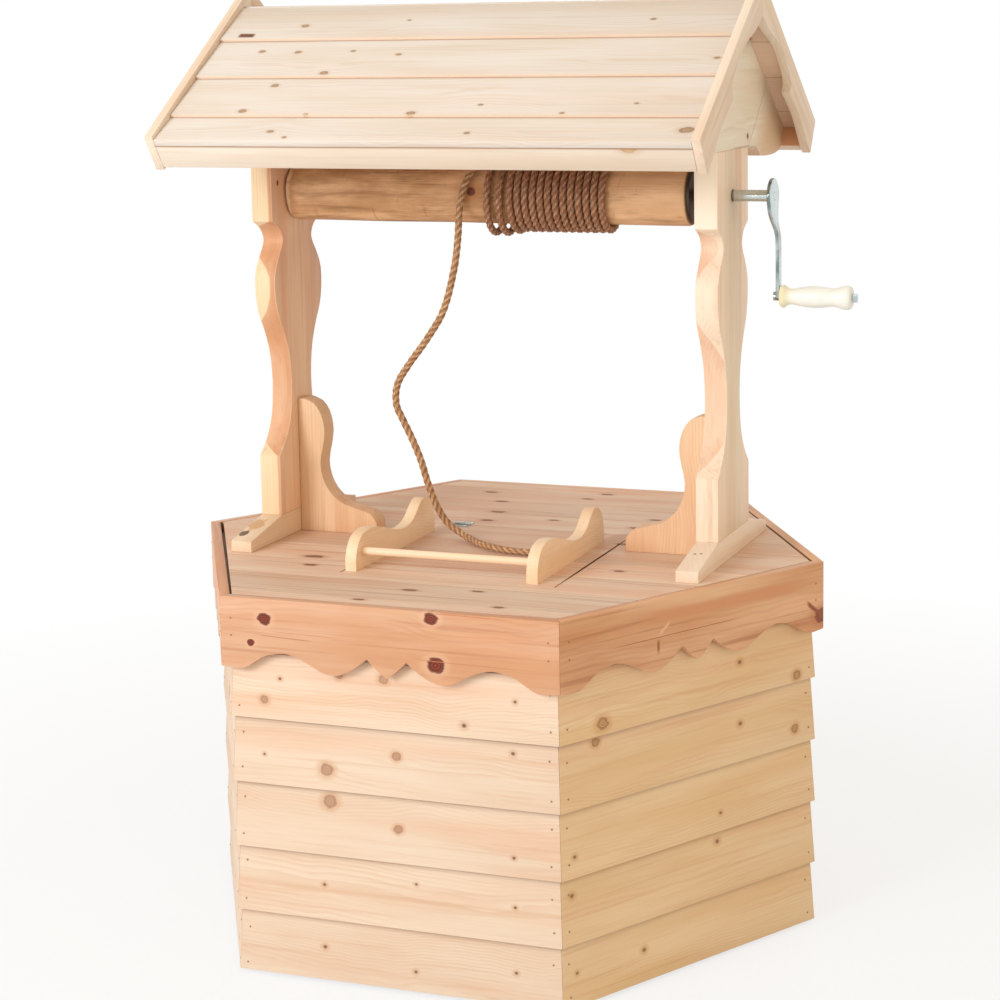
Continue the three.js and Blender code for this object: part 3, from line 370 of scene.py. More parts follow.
def natural_rope(name, dark, light, fleck_highlight_share):
    """Yarn of natural fibre, on the rope's own map of its length and its way round."""
    finish = Finish(name)
    along, about, _ = finish.apart(finish.place.outputs["UV"])
    # Yarns run nearly along the rope, so they cross the strands at a slant
    slant = finish.plus(about, finish.over(along, rope_lay))
    yarn = finish.noise(finish.together(finish.times(along, 70), finish.times(slant, 26), 0), 1, 3)
    fleck = finish.noise(finish.together(finish.times(along, 120), finish.times(slant, 40), 7), 1, 2)
    patch = finish.noise(finish.place.outputs["Object"], 28, 2)
    lobe = finish.maths("ABSOLUTE", finish.maths("SINE", finish.times(about, 3 * math.pi)))
    groove_shade = finish.ease(lobe, 0.35, 0.95)
    body = finish.blend(finish.ease(yarn, 0.35, 0.68), linear(dark), linear(light))
    # Pale flecks: pale fibres, with painted highlights on them
    body = finish.blend(finish.ease(fleck, 0.54, 0.66, 0, fleck_highlight_share), body, linear("#fdeacb"))
    body = finish.blend(finish.ease(patch, 0.35, 0.7, 0, 0.25), body, linear("#8a5733"))
    # Painted shade in the grooves between the strands
    body = finish.blend(finish.times(groove_shade, 0.55), body, linear("#5d351d"))
    finish.join(body, finish.shader.inputs["Base Color"])
    finish.shader.inputs["Roughness"].default_value = 0.62
    finish.shader.inputs["Sheen Weight"].default_value = 0.1
    finish.bump(finish.plus(yarn, finish.times(fleck, 0.6)), 0.7, 0.0012)
    return finish.material


def dress(piece, material):
    """Gives a piece one material in place of what it had."""
    piece.data.materials.clear()
    piece.data.materials.append(material)


tail_path = rounded([Vector((x / 1000 + middle_x, y / 1000, z / 1000)) for x, y, z in tail_route], 12)
rope_winding, winding_line = laid_rope("rope_winding", coil_path)
rope_end, end_line = laid_rope("rope_end", tail_path)
# One rope in two colourings: painted shade on the wound turns under the roof, painted light on the hanging
# end
shaded_wound_finish = natural_rope("wound_rope_shaded", "#8f5a3a", "#c98f66", 0.75)
lit_hanging_finish = natural_rope("hanging_rope_lit", "#b17c4e", "#e2b381", 0.9)
for rope_piece, rope_finish, rope_body, rope_node in (
        (rope_winding, shaded_wound_finish, "windlass", "rope_coil"),
        (rope_end, lit_hanging_finish, "well", "rope_tail")):
    dress(rope_piece, rope_finish)
    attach(rope_piece, rope_body)
    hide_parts(rope_node)

# Boarding of the base
# Six faces of planed pine lap boards, each course standing out over the next one and
# nailed to a stud near both ends. The boards are mitred at the corners.


def pine(name, axes, colours, knots=(), centre=(0, 0, 0), turn=(0, 0, 0), face=0.0, row=None, ring=0.0045,
         seed=0.0, contrast=0.5, streaks=0.3, rosy=0.25, board_change=0.09, gloss=0.62,
         knot_colours=("#8b5a35", "#5d3a22", "#5d3a22"), knot_heart=1.0, knot_halo=None, pin_size=0.0,
         lap=None, lines=(), spots=(), sap=None, sawn=None, under=None):
    """Planed pine. axes names the directions of the grain, the board's width and its thickness.

    centre and turn say where the wood is laid, and face how deep its outer face lies. row is
    (edge of one board, pitch), for boards side by side. colours are those of the pale wood, the
    warm wood and the rings. A knot is (along, wide, size, stretch). Its colours are those of its
    inside, its rim and a pin, which it is below pin_size, and knot_halo is the colour round it.
    A lap is (first, pitch, width, colour, lip colour): painted shade under each board's lower
    edge, and painted warm light on the lip of the board above.
    A line is (along, wide, half length, half width, lean, colour). A spot is (place, size,
    stretch, colour). sap is (wide mark, wide weight, deep mark, deep weight, colour), the paler
    wood near the bark. sawn is (deep from, deep to, colour), an edge cut across the rings. under
    is (depth, way, colour), painted shade on the side turned away from the light.
    """
    finish = Finish(name)
    moved = finish.tree.nodes.new("ShaderNodeMapping")
    moved.vector_type = "TEXTURE"
    moved.inputs["Location"].default_value = centre
    moved.inputs["Rotation"].default_value = turn
    finish.join(finish.place.outputs["Object"], moved.inputs["Vector"])
    parts = dict(zip("XYZ", finish.apart(moved.outputs[0])))
    along, wide, deep = (parts[a] for a in axes)

    def grainwise(length_rate, cross_rate, detail=3.0, rough=0.55):
        return finish.noise(finish.together(finish.times(shifted, length_rate),
                                            finish.times(wide, cross_rate),
                                            finish.times(deep, cross_rate)), 1, detail, rough)

    if row:
        first, board_pitch = row
        number = finish.maths("FLOOR", finish.over(finish.minus(wide, first), board_pitch))
        board = finish.tree.nodes.new("ShaderNodeTexWhiteNoise")
        board.noise_dimensions = "1D"
        finish.join(finish.plus(number, seed * 13.7 + 0.31), board.inputs["W"])
        chance = board.outputs["Value"]
        other = finish.apart(board.outputs["Color"])[1]
        third = finish.apart(board.outputs["Color"])[2]
        board_middle = finish.plus(finish.times(finish.plus(number, 0.5), board_pitch), first)
        shifted = finish.plus(along, finish.times(number, 3.71))
    else:
        chance, other, board_middle, shifted = 0.5, 0.5, 0.0, along
    shifted = finish.plus(shifted, seed * 5.3)
    wander = finish.noise(finish.together(finish.times(shifted, 2.3), finish.times(chance, 9), seed), 1, 3)
    side = finish.times(finish.minus(other, 0.5), 0.07)
    from_pith = finish.minus(finish.minus(wide, board_middle),
                             finish.plus(side, finish.times(finish.minus(wander, 0.5), 0.11)))
    depth = finish.plus(finish.maths("ABSOLUTE", finish.minus(deep, face)),
                        finish.plus(finish.times(chance, 0.03), 0.015))
    across = finish.plus(finish.times(from_pith, from_pith), finish.times(depth, depth))
    across = finish.maths("SQRT", across)
    near_knot = near_pin = None
    squeeze = 0.86  # a knot is a little longer along the grain than across it
    for knot_along, knot_wide, size, *stretch in knots:
        apart = finish.vector("SUBTRACT", finish.together(along, wide, 0), (knot_along, knot_wide, 0))
        longer = stretch[0] if stretch else 1
        apart = finish.vector("MULTIPLY", apart, (squeeze / longer / size, 1 / size, 0))
        far = finish.vector("LENGTH", apart, out=1)
        if size < pin_size:
            near_pin = far if near_pin is None else finish.maths("MINIMUM", near_pin, far)
        else:
            near_knot = far if near_knot is None else finish.maths("MINIMUM", near_knot, far)
    if near_knot is not None:
        swell = finish.over(0.012, finish.plus(1, finish.times(near_knot, near_knot)))
        across = finish.plus(across, swell)
    ripple = grainwise(7, 55, 2)
    rings = finish.plus(finish.over(across, ring), finish.times(ripple, 1.3))
    part = finish.maths("FRACT", rings)
    late = finish.times(finish.ease(part, 0.3, 0.88), finish.ease(part, 0.9, 1.0, 1, 0))
    fibre = grainwise(9, 480)
    streak = grainwise(2.6, 120, 4)
    cloud = grainwise(2.2, 16)
    fade = finish.ease(grainwise(3.1, 22, 2), 0.38, 0.66, 0.12, 1)
    pale, warm, ring_colour = (linear(c) for c in colours)
    wood = finish.blend(finish.ease(cloud, 0.32, 0.7), pale, warm)
    if sawn:
        inner = finish.maths("ABSOLUTE", deep)
        between = finish.times(finish.ease(inner, sawn[0], sawn[0] + 0.001),
                               finish.ease(inner, sawn[1] - 0.001, sawn[1], 1, 0))
        between = finish.times(between, finish.ease(cloud, 0.25, 0.6, 0.5, 1))
        wood = finish.blend(between, wood, linear(sawn[2]))
    if sap:
        wide_mark, wide_weight, deep_mark, deep_weight, sap_colour = sap
        outward = finish.plus(*(
            finish.times(finish.minus(finish.maths("ABSOLUTE", place), mark), weight)
            for place, mark, weight in ((wide, wide_mark, wide_weight), (deep, deep_mark, deep_weight))))
        outward = finish.plus(outward, finish.times(finish.minus(wander, 0.5), 0.02))
        wood = finish.blend(finish.ease(outward, -0.002, 0.002), wood, linear(sap_colour))
    wood = finish.blend(finish.ease(grainwise(1.7, 26, 2), 0.5, 0.72, 0, rosy), wood, linear("#e3ab88"))
    wood = finish.blend(finish.times(finish.times(late, fade), contrast), wood, ring_colour)
    wood = finish.blend(finish.ease(streak, 0.53, 0.7, 0, streaks), wood, ring_colour)
    wood = finish.blend(finish.ease(fibre, 0.45, 0.8, 0, 0.12 + 0.2 * contrast), wood, ring_colour)
    if row:
        shade = finish.plus(1 - board_change / 2, finish.times(other, board_change))
        wood = finish.vector("SCALE", wood, (0, 0, 0), (0, 0, 0), shade)
        wood = finish.blend(finish.times(third, board_change * 2), wood, warm)
    if near_knot is not None:
        ragged = finish.plus(near_knot, finish.times(finish.minus(grainwise(60, 150, 2), 0.5), 0.9))
        halo = finish.ease(ragged, 0.9, 2.4, 0.6, 0)
        wood = finish.blend(halo, wood, linear(knot_halo) if knot_halo else ring_colour)
        heart = finish.blend(finish.ease(finish.maths("FRACT", finish.times(near_knot, 2.7)), 0.2, 0.9),
                             linear(knot_colours[0]), linear(knot_colours[1]))
        wood = finish.blend(finish.ease(ragged, 0.8, 1.1, knot_heart, 0), wood, heart)
        rim = finish.times(finish.ease(ragged, 0.66, 0.9), finish.ease(ragged, 0.96, 1.2, 1, 0))
        wood = finish.blend(finish.times(rim, 0.7), wood, linear(knot_colours[1]))
    if near_pin is not None:
        wood = finish.blend(finish.ease(near_pin, 0.9, 2.6, 0.45, 0), wood, ring_colour)
        wood = finish.blend(finish.ease(near_pin, 0.45, 0.95, 0.85, 0), wood, linear(knot_colours[2]))
    for line_along, line_wide, half_length, half_width, lean, colour in lines:
        run = finish.minus(along, line_along)
        rise = finish.minus(finish.minus(wide, line_wide), finish.times(run, lean))
        bend = finish.times(finish.minus(grainwise(14, 60, 2), 0.5), min(half_width, 0.003) * 2.2)
        beside = finish.over(finish.maths("ABSOLUTE", finish.plus(rise, bend)), half_width)
        ends = finish.ease(finish.over(finish.maths("ABSOLUTE", run), half_length), 0.6, 1, 1, 0)
        wood = finish.blend(finish.times(finish.ease(beside, 0.3, 1, 1, 0), ends), wood, linear(colour))
    for place, size, stretch, colour in spots:
        apart = finish.vector("MULTIPLY", finish.vector("SUBTRACT", moved.outputs[0], place), stretch)
        near = finish.plus(finish.over(finish.vector("LENGTH", apart, out=1), size),
                           finish.times(finish.minus(grainwise(70, 170, 2), 0.5), 1.2))
        wood = finish.blend(finish.ease(near, 0.8, 1.1, 0.9, 0), wood, linear(colour))
    # Painted shade on the side turned away from the light
    if under:
        depth, way, under_shade_colour = under
        shown = finish.ease(finish.times(deep, way), depth - 0.0004, depth + 0.0004, 0, 0.85)
        wood = finish.blend(shown, wood, linear(under_shade_colour))
    # Painted shade under each board's lower edge, and painted warm light on the lip above it
    if lap:
        lap_first, lap_pitch, lap_width, lap_shade_colour, lip_light_colour = lap
        courses_down = finish.over(finish.minus(lap_first, wide), lap_pitch)
        under_edge = finish.times(finish.maths("FRACT", courses_down), lap_pitch)
        shade = finish.maths("MAXIMUM",
                             finish.ease(under_edge, 0.25 * lap_width, 0.5 * lap_width, 0.85, 0),
                             finish.ease(under_edge, 0.3 * lap_width, 1.6 * lap_width, 0.28, 0))
        wood = finish.blend(shade, wood, linear(lap_shade_colour))
        if lip_light_colour:
            lip = finish.ease(under_edge, lap_pitch - 0.0012, lap_pitch - 0.0006, 0, 0.7)
            wood = finish.blend(lip, wood, linear(lip_light_colour))
    finish.join(wood, finish.shader.inputs["Base Color"])
    finish.join(finish.ease(late, 0, 1, gloss, gloss - 0.12), finish.shader.inputs["Roughness"])
    finish.bump(finish.plus(finish.times(late, 0.4), fibre), 0.22, 0.0007)
    return finish.material


def eased_copy(node, ease, steps=2, reshape=None):
    """A copy of a CAD piece, cut further by reshape in edit mode, with its edges sanded off."""
    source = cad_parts[node]
    mesh = source.data.copy()
    mesh.name = node + "_eased"
    copy = bpy.data.objects.new(node + "_eased", mesh)
    bpy.context.collection.objects.link(copy)
    bpy.ops.object.select_all(action="DESELECT")
    copy.select_set(True)
    bpy.context.view_layer.objects.active = copy
    bpy.ops.object.mode_set(mode="EDIT")
    bpy.ops.mesh.select_all(action="SELECT")
    bpy.ops.mesh.remove_doubles(threshold=0.00002)
    bpy.ops.mesh.dissolve_limited(angle_limit=math.radians(0.6))
    if reshape:
        reshape(copy)
    bpy.ops.object.mode_set(mode="OBJECT")
    bevel = copy.modifiers.new("ease", "BEVEL")
    bevel.width = ease
    bevel.segments = steps
    bevel.limit_method = "ANGLE"
    bevel.angle_limit = math.radians(38)
    bevel.harden_normals = False
    bpy.ops.object.modifier_apply(modifier="ease")
    bpy.ops.object.shade_smooth_by_angle(angle=math.radians(32))
    return copy


side_names = ["front", "front_right", "back_right", "back", "back_left", "front_left"]
course, courses = 0.1, 5  # the height and the number of the boards on a face
board_colours = ("#e6d3bf", "#dfc5ae", "#c9996f")
# Painted shade: the boards' colours for the faces on the right, darker and yellower
shaded_side_boards = ("#e9cfa9", "#e0bf92", "#c8905a")
smooth_knot = ("#b99079", "#a07860", "#6b4a34")
ringed_knot = ("#c39b6d", "#94693f", "#85603f")
seen_knots = {  # along, height and size, in metres
    "front": [(0.205, 0.429, 0.0056), (0.179, 0.462, 0.0031), (0.083, 0.475, 0.0049),
              (0.012, 0.475, 0.0061), (-0.192, 0.459, 0.003), (-0.114, 0.418, 0.0042),
              (-0.005, 0.361, 0.0055), (0.106, 0.331, 0.0081), (0.208, 0.345, 0.0025),
              (-0.187, 0.382, 0.0036), (0.104, 0.282, 0.0088), (-0.006, 0.251, 0.0056),
              (-0.187, 0.228, 0.0031), (0.116, 0.153, 0.0032), (-0.032, 0.17, 0.0025),
              (-0.187, 0.153, 0.0031), (0.118, 0.056, 0.0038), (-0.029, 0.036, 0.0032),
              (-0.187, 0.054, 0.0031)],
    "front_right": [(0.178, 0.417, 0.0085), (0.188, 0.39, 0.006), (-0.099, 0.454, 0.0044),
                    (-0.219, 0.411, 0.0065), (-0.1, 0.358, 0.0045), (-0.216, 0.326, 0.0059),
                    (-0.056, 0.228, 0.0032), (-0.052, 0.183, 0.0045), (0.233, 0.231, 0.0036),
                    (0.237, 0.173, 0.0043), (0.1, 0.054, 0.0044), (0.23, 0.055, 0.0031)],
}
shaded_sides = (1, 2)  # the two faces on the right, painted darker and yellower as shade
chance = random.Random(7)


def scattered_knots(number, half, low, high):
    """Knots by chance, for the boards that the photograph doesn't show."""
    return [(chance.uniform(-half, half), chance.uniform(low, high), chance.uniform(0.0028, 0.0075))
            for _ in range(number)]


def side_turn(side):
    """How far a side is turned from the back, as a rotation about X, Y and Z."""
    return (0, 0, math.pi + side * math.pi / 3)


well_middle = (middle_x, 0, 0)
for side, side_name in enumerate(side_names):
    on_shaded_side = side in shaded_sides
    knots = seen_knots.get(side_name) or scattered_knots(12, 0.22, 0.03, 0.48)
    # lap paints shade under each course's lower edge
    boarding_finish = pine("boarding_" + side_name, "XZY", shaded_side_boards if on_shaded_side else board_colours,
                           knots, well_middle, side_turn(side), face=0.446, row=(0.0, course),
                           seed=side + 0.4, contrast=0.22 if on_shaded_side else 0.26, streaks=0.24, rosy=0.3,
                           board_change=0.05, pin_size=0.0047, knot_heart=0.75,
                           knot_colours=ringed_knot if on_shaded_side else smooth_knot,
                           lap=(0.0, course, 0.0068, "#80583b", None))
    boarding = eased_copy("cladding_" + side_name, 0.0008)
    dress(boarding, boarding_finish)
    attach(boarding, "well")
    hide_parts("cladding_" + side_name)

nail_radius = 0.0015
nail_finish = Finish("nail_steel")
nail_rust = nail_finish.noise(nail_finish.place.outputs["Object"], 900, 2)
nail_colour = nail_finish.blend(nail_rust, linear("#a58a70"), linear("#80664f"))
nail_finish.join(nail_colour, nail_finish.shader.inputs["Base Color"])
nail_finish.shader.inputs["Metallic"].default_value = 0.3
nail_finish.shader.inputs["Roughness"].default_value = 0.5


def round_head(vertices, radius, depth, turn, face_way, insets):
    """The head of a nail or screw, with the face that looks along face_way inset."""
    bpy.ops.object.select_all(action="DESELECT")
    bpy.ops.mesh.primitive_cylinder_add(vertices=vertices, radius=radius, depth=depth, rotation=turn)
    head = bpy.context.object
    bpy.ops.object.transform_apply(location=True, rotation=True, scale=True)
    bpy.ops.object.mode_set(mode="EDIT")
    bpy.ops.mesh.select_all(action="DESELECT")
    bpy.ops.object.mode_set(mode="OBJECT")
    for face in head.data.polygons:
        face.select = face.normal.dot(face_way) > 0.9
    bpy.ops.object.mode_set(mode="EDIT")
    for thickness, rise in insets:
        bpy.ops.mesh.inset(thickness=thickness, depth=rise)
    bpy.ops.object.mode_set(mode="OBJECT")
    head_mesh = head.data
    bpy.data.objects.remove(head)
    return head_mesh


def driven_in(name, head_mesh, places, material, body):
    """Copies of a head, joined to one piece. Each place is a matrix."""
    heads = []
    for place in places:
        mesh = head_mesh.copy()
        mesh.transform(place)
        head = bpy.data.objects.new(name, mesh)
        bpy.context.collection.objects.link(head)
        heads.append(head)
    bpy.ops.object.select_all(action="DESELECT")
    for head in heads:
        head.select_set(True)
    bpy.context.view_layer.objects.active = heads[0]
    bpy.ops.object.join()
    row_of_heads = bpy.context.object
    row_of_heads.name = name
    dress(row_of_heads, material)
    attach(row_of_heads, body)


def to_side(side):
    """The matrix that takes a place (along, outwards, up) to one side of the base."""
    return Matrix.Translation(well_middle) @ Matrix.Rotation(side_turn(side)[2], 4, "Z")


nail_mesh = round_head(10, nail_radius, 0.0016, (math.pi / 2, 0, 0), Vector((0, 1, 0)),
                       [(nail_radius * 0.35, 0.0003)])
course_foot, course_lean = 0.45, 0.0065  # how far out a course stands at its foot, and leans in
lean = Matrix.Rotation(math.atan(course_lean / course), 4, "X")
nail_rises = (0.02, 0.074)  # over the foot of a course
nail_end_room, nail_scatter, nail_sunk = 0.012, 0.003, 0.0004
for side, side_name in enumerate(side_names):
    places = []
    for course_number in range(courses):
        for rise in nail_rises:
            out = course_foot - course_lean * rise / course
            half = out * math.tan(math.pi / 6)  # of a board's length
            for end in (-1, 1):
                along = end * (half - nail_end_room - chance.uniform(0, nail_scatter))
                height = course_number * course + rise + chance.uniform(-nail_scatter, nail_scatter)
                nail_place = Matrix.Translation((along, out - nail_sunk, height))
                places.append(to_side(side) @ nail_place @ lean)
    driven_in("boarding_nails_" + side_name, nail_mesh, places, nail_finish.material, "well")

# Corner studs, joists and battens
# Rough pine timbers inside the base: a stud in each corner, two joists under the hatch's
# side edges, and two battens screwed across the hatch's boards.
inner_colours = ("#e4c095", "#d9b184", "#bd8d5c")
inner_finish = pine("inner_pine", "ZXY", inner_colours, ring=0.004, seed=3.3, contrast=0.45)
lying_finish = pine("joist_pine", "YXZ", inner_colours, ring=0.004, seed=4.3, contrast=0.45)
for name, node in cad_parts.items():
    if name.startswith("corner_stud"):
        dress(node, inner_finish)
    elif "joist" in name or "batten" in name:
        dress(node, lying_finish)

# Apron
# Six reddish pine boards with a scalloped lower edge, nailed round the top of the boarding
# so that they stand flush with the deck.
apron_knots = {
    "front": [(0.194, 0.555, 0.0086), (0.217, 0.518, 0.0049), (-0.071, 0.575, 0.0084),
              (-0.077, 0.507, 0.0108)],
    "front_right": [(-0.264, 0.501, 0.0105, 1.3), (0.034, 0.496, 0.0052)],
}
apron_lines = {
    "front": [(0.16, 0.529, 0.05, 0.0008, 0.04, "#b0704a"), (0.13, 0.536, 0.06, 0.0006, 0.02, "#c08058"),
              (-0.12, 0.512, 0.09, 0.0007, 0.02, "#bd7c55"), (-0.13, 0.582, 0.07, 0.0009, 0.01, "#c27b50")],
    "front_right": [(0.044, 0.5283, 0.14, 0.0007, 0, "#8f4a26"), (0.08, 0.515, 0.003, 0.013, 0, "#a3603a"),
                    (-0.06, 0.557, 0.2, 0.014, 0.01, "#d0946a"),
                    (0.068, 0.54, 0.012, 0.004, -0.7, "#e3b48c"),
                    (-0.247, 0.513, 0.02, 0.006, 0.75, "#94502c")],
}
apron_colours = ("#e0bda3", "#d09a73", "#b06d48")
# Painted shade: the apron's colours for the faces on the right
shaded_side_apron = ("#e2ba94", "#c98f62", "#a5663e")
dark_knot = ("#8c3410", "#521503", "#451404")
torn_knot = ("#9a4f2a", "#7d3c1e", "#5c2c16")
apron_face = 0.461
apron_nail_along, apron_nail_heights, apron_nail_sunk = 0.249, (0.527, 0.553), 0.0002
for side, side_name in enumerate(side_names):
    knots = apron_knots.get(side_name) or scattered_knots(4, 0.24, 0.5, 0.575)
    apron = eased_copy("apron_" + side_name, 0.0009)
    torn = side_name == "front_right"
    # under paints shade on the apron's inner face
    dress(apron, pine("apron_" + side_name, "XZY", shaded_side_apron if side in shaded_sides else apron_colours,
                      knots, well_middle, side_turn(side), face=apron_face, row=(0.475, 0.12), ring=0.0075,
                      seed=side + 9.1, contrast=0.2, streaks=0.55, rosy=0.6, gloss=0.55,
                      knot_colours=torn_knot if torn else dark_knot,
                      knot_halo="#b8744a" if torn else "#dfb291",
                      lines=apron_lines.get(side_name, ()), under=(-0.4462, -1, "#7d5436")))
    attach(apron, "well")
    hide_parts("apron_" + side_name)
    out = apron_face - apron_nail_sunk
    places = [to_side(side) @ Matrix.Translation((end * apron_nail_along, out, height))
              for end in (-1, 1) for height in apron_nail_heights]
    driven_in("apron_nails_" + side_name, nail_mesh, places, nail_finish.material, "well")

# Deck and hatch
# Planed pine boards across the base, their joints running left to right. The hatch is cut
# out of the same boards, so the grain runs on across its sawn edges.
deck_knots = [(x / 1000, y / 1000, size, 1.8) for x, y, size in (  # places in millimetres
    (-166, 365, 0.005), (21, 354, 0.004), (42, 401, 0.005), (-118, 293, 0.005), (-91, 209, 0.006),
    (-83, 139, 0.005), (26, 170, 0.004), (197, 28, 0.005), (-245, -189, 0.007), (-225, -244, 0.005),
    (191, 218, 0.005), (181, 149, 0.006), (-59, -423, 0.004), (155, -409, 0.004), (60, 262, 0.004),
    (130, 90, 0.005), (300, 60, 0.004), (90, -330, 0.004), (-10, -350, 0.005), (250, -150, 0.004),
    (-320, 60, 0.006), (310, 250, 0.005))]
# The dark sides of the two saw cuts beside the hatch
saw_cuts = [(cut_x, -0.09, 0.0024, 0.184, 0, "#6e452c") for cut_x in (0.1905, -0.1595)]
deck_finish = pine("deck_pine", "XYZ", ("#e7d4c2", "#dfbba3", "#b5835f"), deck_knots, well_middle,
                   face=0.585, row=(-0.414, 0.102), ring=0.0046, seed=2.2, contrast=0.4, streaks=0.5,
                   rosy=0.45, board_change=0.18, gloss=0.66, knot_colours=("#a06e50", "#704430", "#704430"),
                   lap=(-0.4142, 0.102, 0.0022, "#a5734e", None), lines=saw_cuts)
for name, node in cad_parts.items():
    if name.startswith("deck_") and "joist" not in name or name == "hatch_panel":
        dress(node, deck_finish)

# Handle of the hatch
# Two brackets sawn from pine board, sanded round at the edges and fixed to the hatch with no
# screw to be seen, and a beech dowel glued between them.
bracket_finish = pine("bracket_pine", "YZX", ("#f8e3c8", "#f0d0aa", "#dab084"), face=0.1, ring=0.0046,
                      seed=1.7, contrast=0.3, streaks=0.2, rosy=0.05)
dowel_finish = pine("dowel_beech", "XYZ", ("#fce8cf", "#f7dcbe", "#e6bd95"), ring=0.003, seed=6.1,
                    contrast=0.2, streaks=0.2, rosy=0.1)
for hand in ("left", "right"):
    bracket = eased_copy("handle_bracket_" + hand, 0.0015, 3)
    dress(bracket, bracket_finish)
    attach(bracket, "hatch")
    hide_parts("handle_bracket_" + hand)
dress(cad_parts["handle_dowel"], dowel_finish)

# Hinges
# Two small zinc-plated steel butt hinges at the hatch's back edge, folded round their pins,
# each leaf held by two countersunk screws.
steel = Finish("bright_steel")
steel_cloud = steel.noise(steel.place.outputs["Object"], 60, 3)
steel_scratch = steel.noise(steel.vector("MULTIPLY", steel.place.outputs["Object"], (900, 900, 60)), 1, 2)
steel_colour = steel.blend(steel_cloud, linear("#aab5b6"), linear("#d2dada"))
steel.join(steel_colour, steel.shader.inputs["Base Color"])
steel.shader.inputs["Metallic"].default_value = 1
steel.join(steel.ease(steel_scratch, 0.2, 0.8, 0.12, 0.22), steel.shader.inputs["Roughness"])
for name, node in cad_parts.items():
    if "hinge" in name or name in ("grip_bolt", "pivot_pin"):
        dress(node, steel.material)

screw_mesh = round_head(16, 0.0021, 0.0004, (0, 0, 0), Vector((0, 0, 1)),
                        [(0.0003, 0.0001), (0.0009, -0.0004)])
hinge_line, leaf_top = 0.09375, 0.5867  # the pins' line, and the height of the leaves' tops
hinge_places, screw_places = (-0.11, 0.11), (-0.0085, 0.0085)  # along the pins
screw_out = 0.0105  # from the pins' line
for leaf, body, way in (("deck", "well", 1), ("hatch", "hatch", -1)):
    places = [Matrix.Translation((hinge_x + along + middle_x, hinge_line + way * screw_out, leaf_top))
              for hinge_x in hinge_places for along in screw_places]
    driven_in("hinge_screws_" + leaf, screw_mesh, places, steel.material, body)

# Crank
# A bright steel shaft with a round plate screwed to the roller's end, painted dark as shade in
# the gap by the post, and a forged arm that tapers from a flat head down to the grip.
plate_face = 0.3325 + middle_x
post_outside = 0.389 + middle_x
shaft_steel = Finish("shaft_steel")
shaft_place = shaft_steel.place.outputs["Object"]
shaft_x = shaft_steel.apart(shaft_place)[0]
shaft_wear = shaft_steel.noise(shaft_steel.vector("MULTIPLY", shaft_place, (300, 60, 60)), 1, 3)
shaft_colour = shaft_steel.blend(shaft_wear, linear("#b5bfc0"), linear("#dde4e4"))
in_the_hole = shaft_steel.ease(shaft_x, post_outside, post_outside + 0.005, 0.8, 0)
shaft_colour = shaft_steel.blend(in_the_hole, shaft_colour, linear("#4a453f"))
# Painted shade: the plate takes a dark colour for the gap between the roller's end and the post
plate_share = shaft_steel.ease(shaft_x, plate_face, plate_face + 0.001, 1, 0)
shaft_colour = shaft_steel.blend(plate_share, shaft_colour, linear("#4b3f36"))
shaft_steel.join(shaft_colour, shaft_steel.shader.inputs["Base Color"])
shaft_metal = shaft_steel.minus(1, shaft_steel.times(plate_share, 0.5))
shaft_steel.join(shaft_metal, shaft_steel.shader.inputs["Metallic"])
shaft_rough = shaft_steel.plus(shaft_steel.ease(shaft_wear, 0.3, 0.7, 0.12, 0.2),
                               shaft_steel.times(plate_share, 0.3))
shaft_steel.join(shaft_rough, shaft_steel.shader.inputs["Roughness"])
dress(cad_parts["crank_shaft"], shaft_steel.material)

arm_steel = Finish("arm_steel")
arm_place = arm_steel.place.outputs["Object"]
arm_z = arm_steel.apart(arm_place)[2]
arm_wear = arm_steel.noise(arm_steel.vector("MULTIPLY", arm_place, (120, 120, 30)), 1, 3)
arm_colour = arm_steel.blend(arm_wear, linear("#bac7c5"), linear("#d4dddb"))
neck_foot, neck_top, neck_fade = 1.05, 1.09, 0.025  # the brownish part under the arm's head
neck = arm_steel.times(arm_steel.ease(arm_z, neck_foot, neck_foot + neck_fade),
                       arm_steel.ease(arm_z, neck_top, neck_top + neck_fade, 1, 0))
# The neck is painted brownish in patches
brown_neck = arm_steel.times(neck, arm_steel.ease(arm_wear, 0.4, 0.6, 0.1, 0.7))
arm_colour = arm_steel.blend(brown_neck, arm_colour, linear("#a08573"))
arm_steel.join(arm_colour, arm_steel.shader.inputs["Base Color"])
arm_steel.shader.inputs["Metallic"].default_value = 1
arm_steel.join(arm_steel.ease(arm_wear, 0.3, 0.7, 0.14, 0.24), arm_steel.shader.inputs["Roughness"])

# Painted dark reflections: a darker steel for the arm's edges
edge_reflection_steel = Finish("edge_reflection_steel")
rim_place = edge_reflection_steel.place.outputs["Object"]
rim_wear = edge_reflection_steel.noise(edge_reflection_steel.vector("MULTIPLY", rim_place, (90, 90, 40)), 1, 3)
edge_reflection_colour = edge_reflection_steel.blend(edge_reflection_steel.ease(rim_wear, 0.35, 0.65), linear("#7f8a8a"), linear("#bcc6c5"))
edge_reflection_steel.join(edge_reflection_colour, edge_reflection_steel.shader.inputs["Base Color"])
edge_reflection_steel.shader.inputs["Metallic"].default_value = 1
edge_reflection_steel.shader.inputs["Roughness"].default_value = 0.22

arm = eased_copy("crank_arm", 0.0009, 3)
dress(arm, arm_steel.material)
arm.data.materials.append(edge_reflection_steel.material)
for face in arm.data.polygons:
    # The narrow edges, and the rounded ones of the head, take the darker steel: painted dark reflections
    outward = abs(face.normal.x)
    face.material_index = 1 if outward < 0.35 or outward < 0.93 and face.center.z > neck_top else 0
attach(arm, "windlass")
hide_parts("crank_arm")

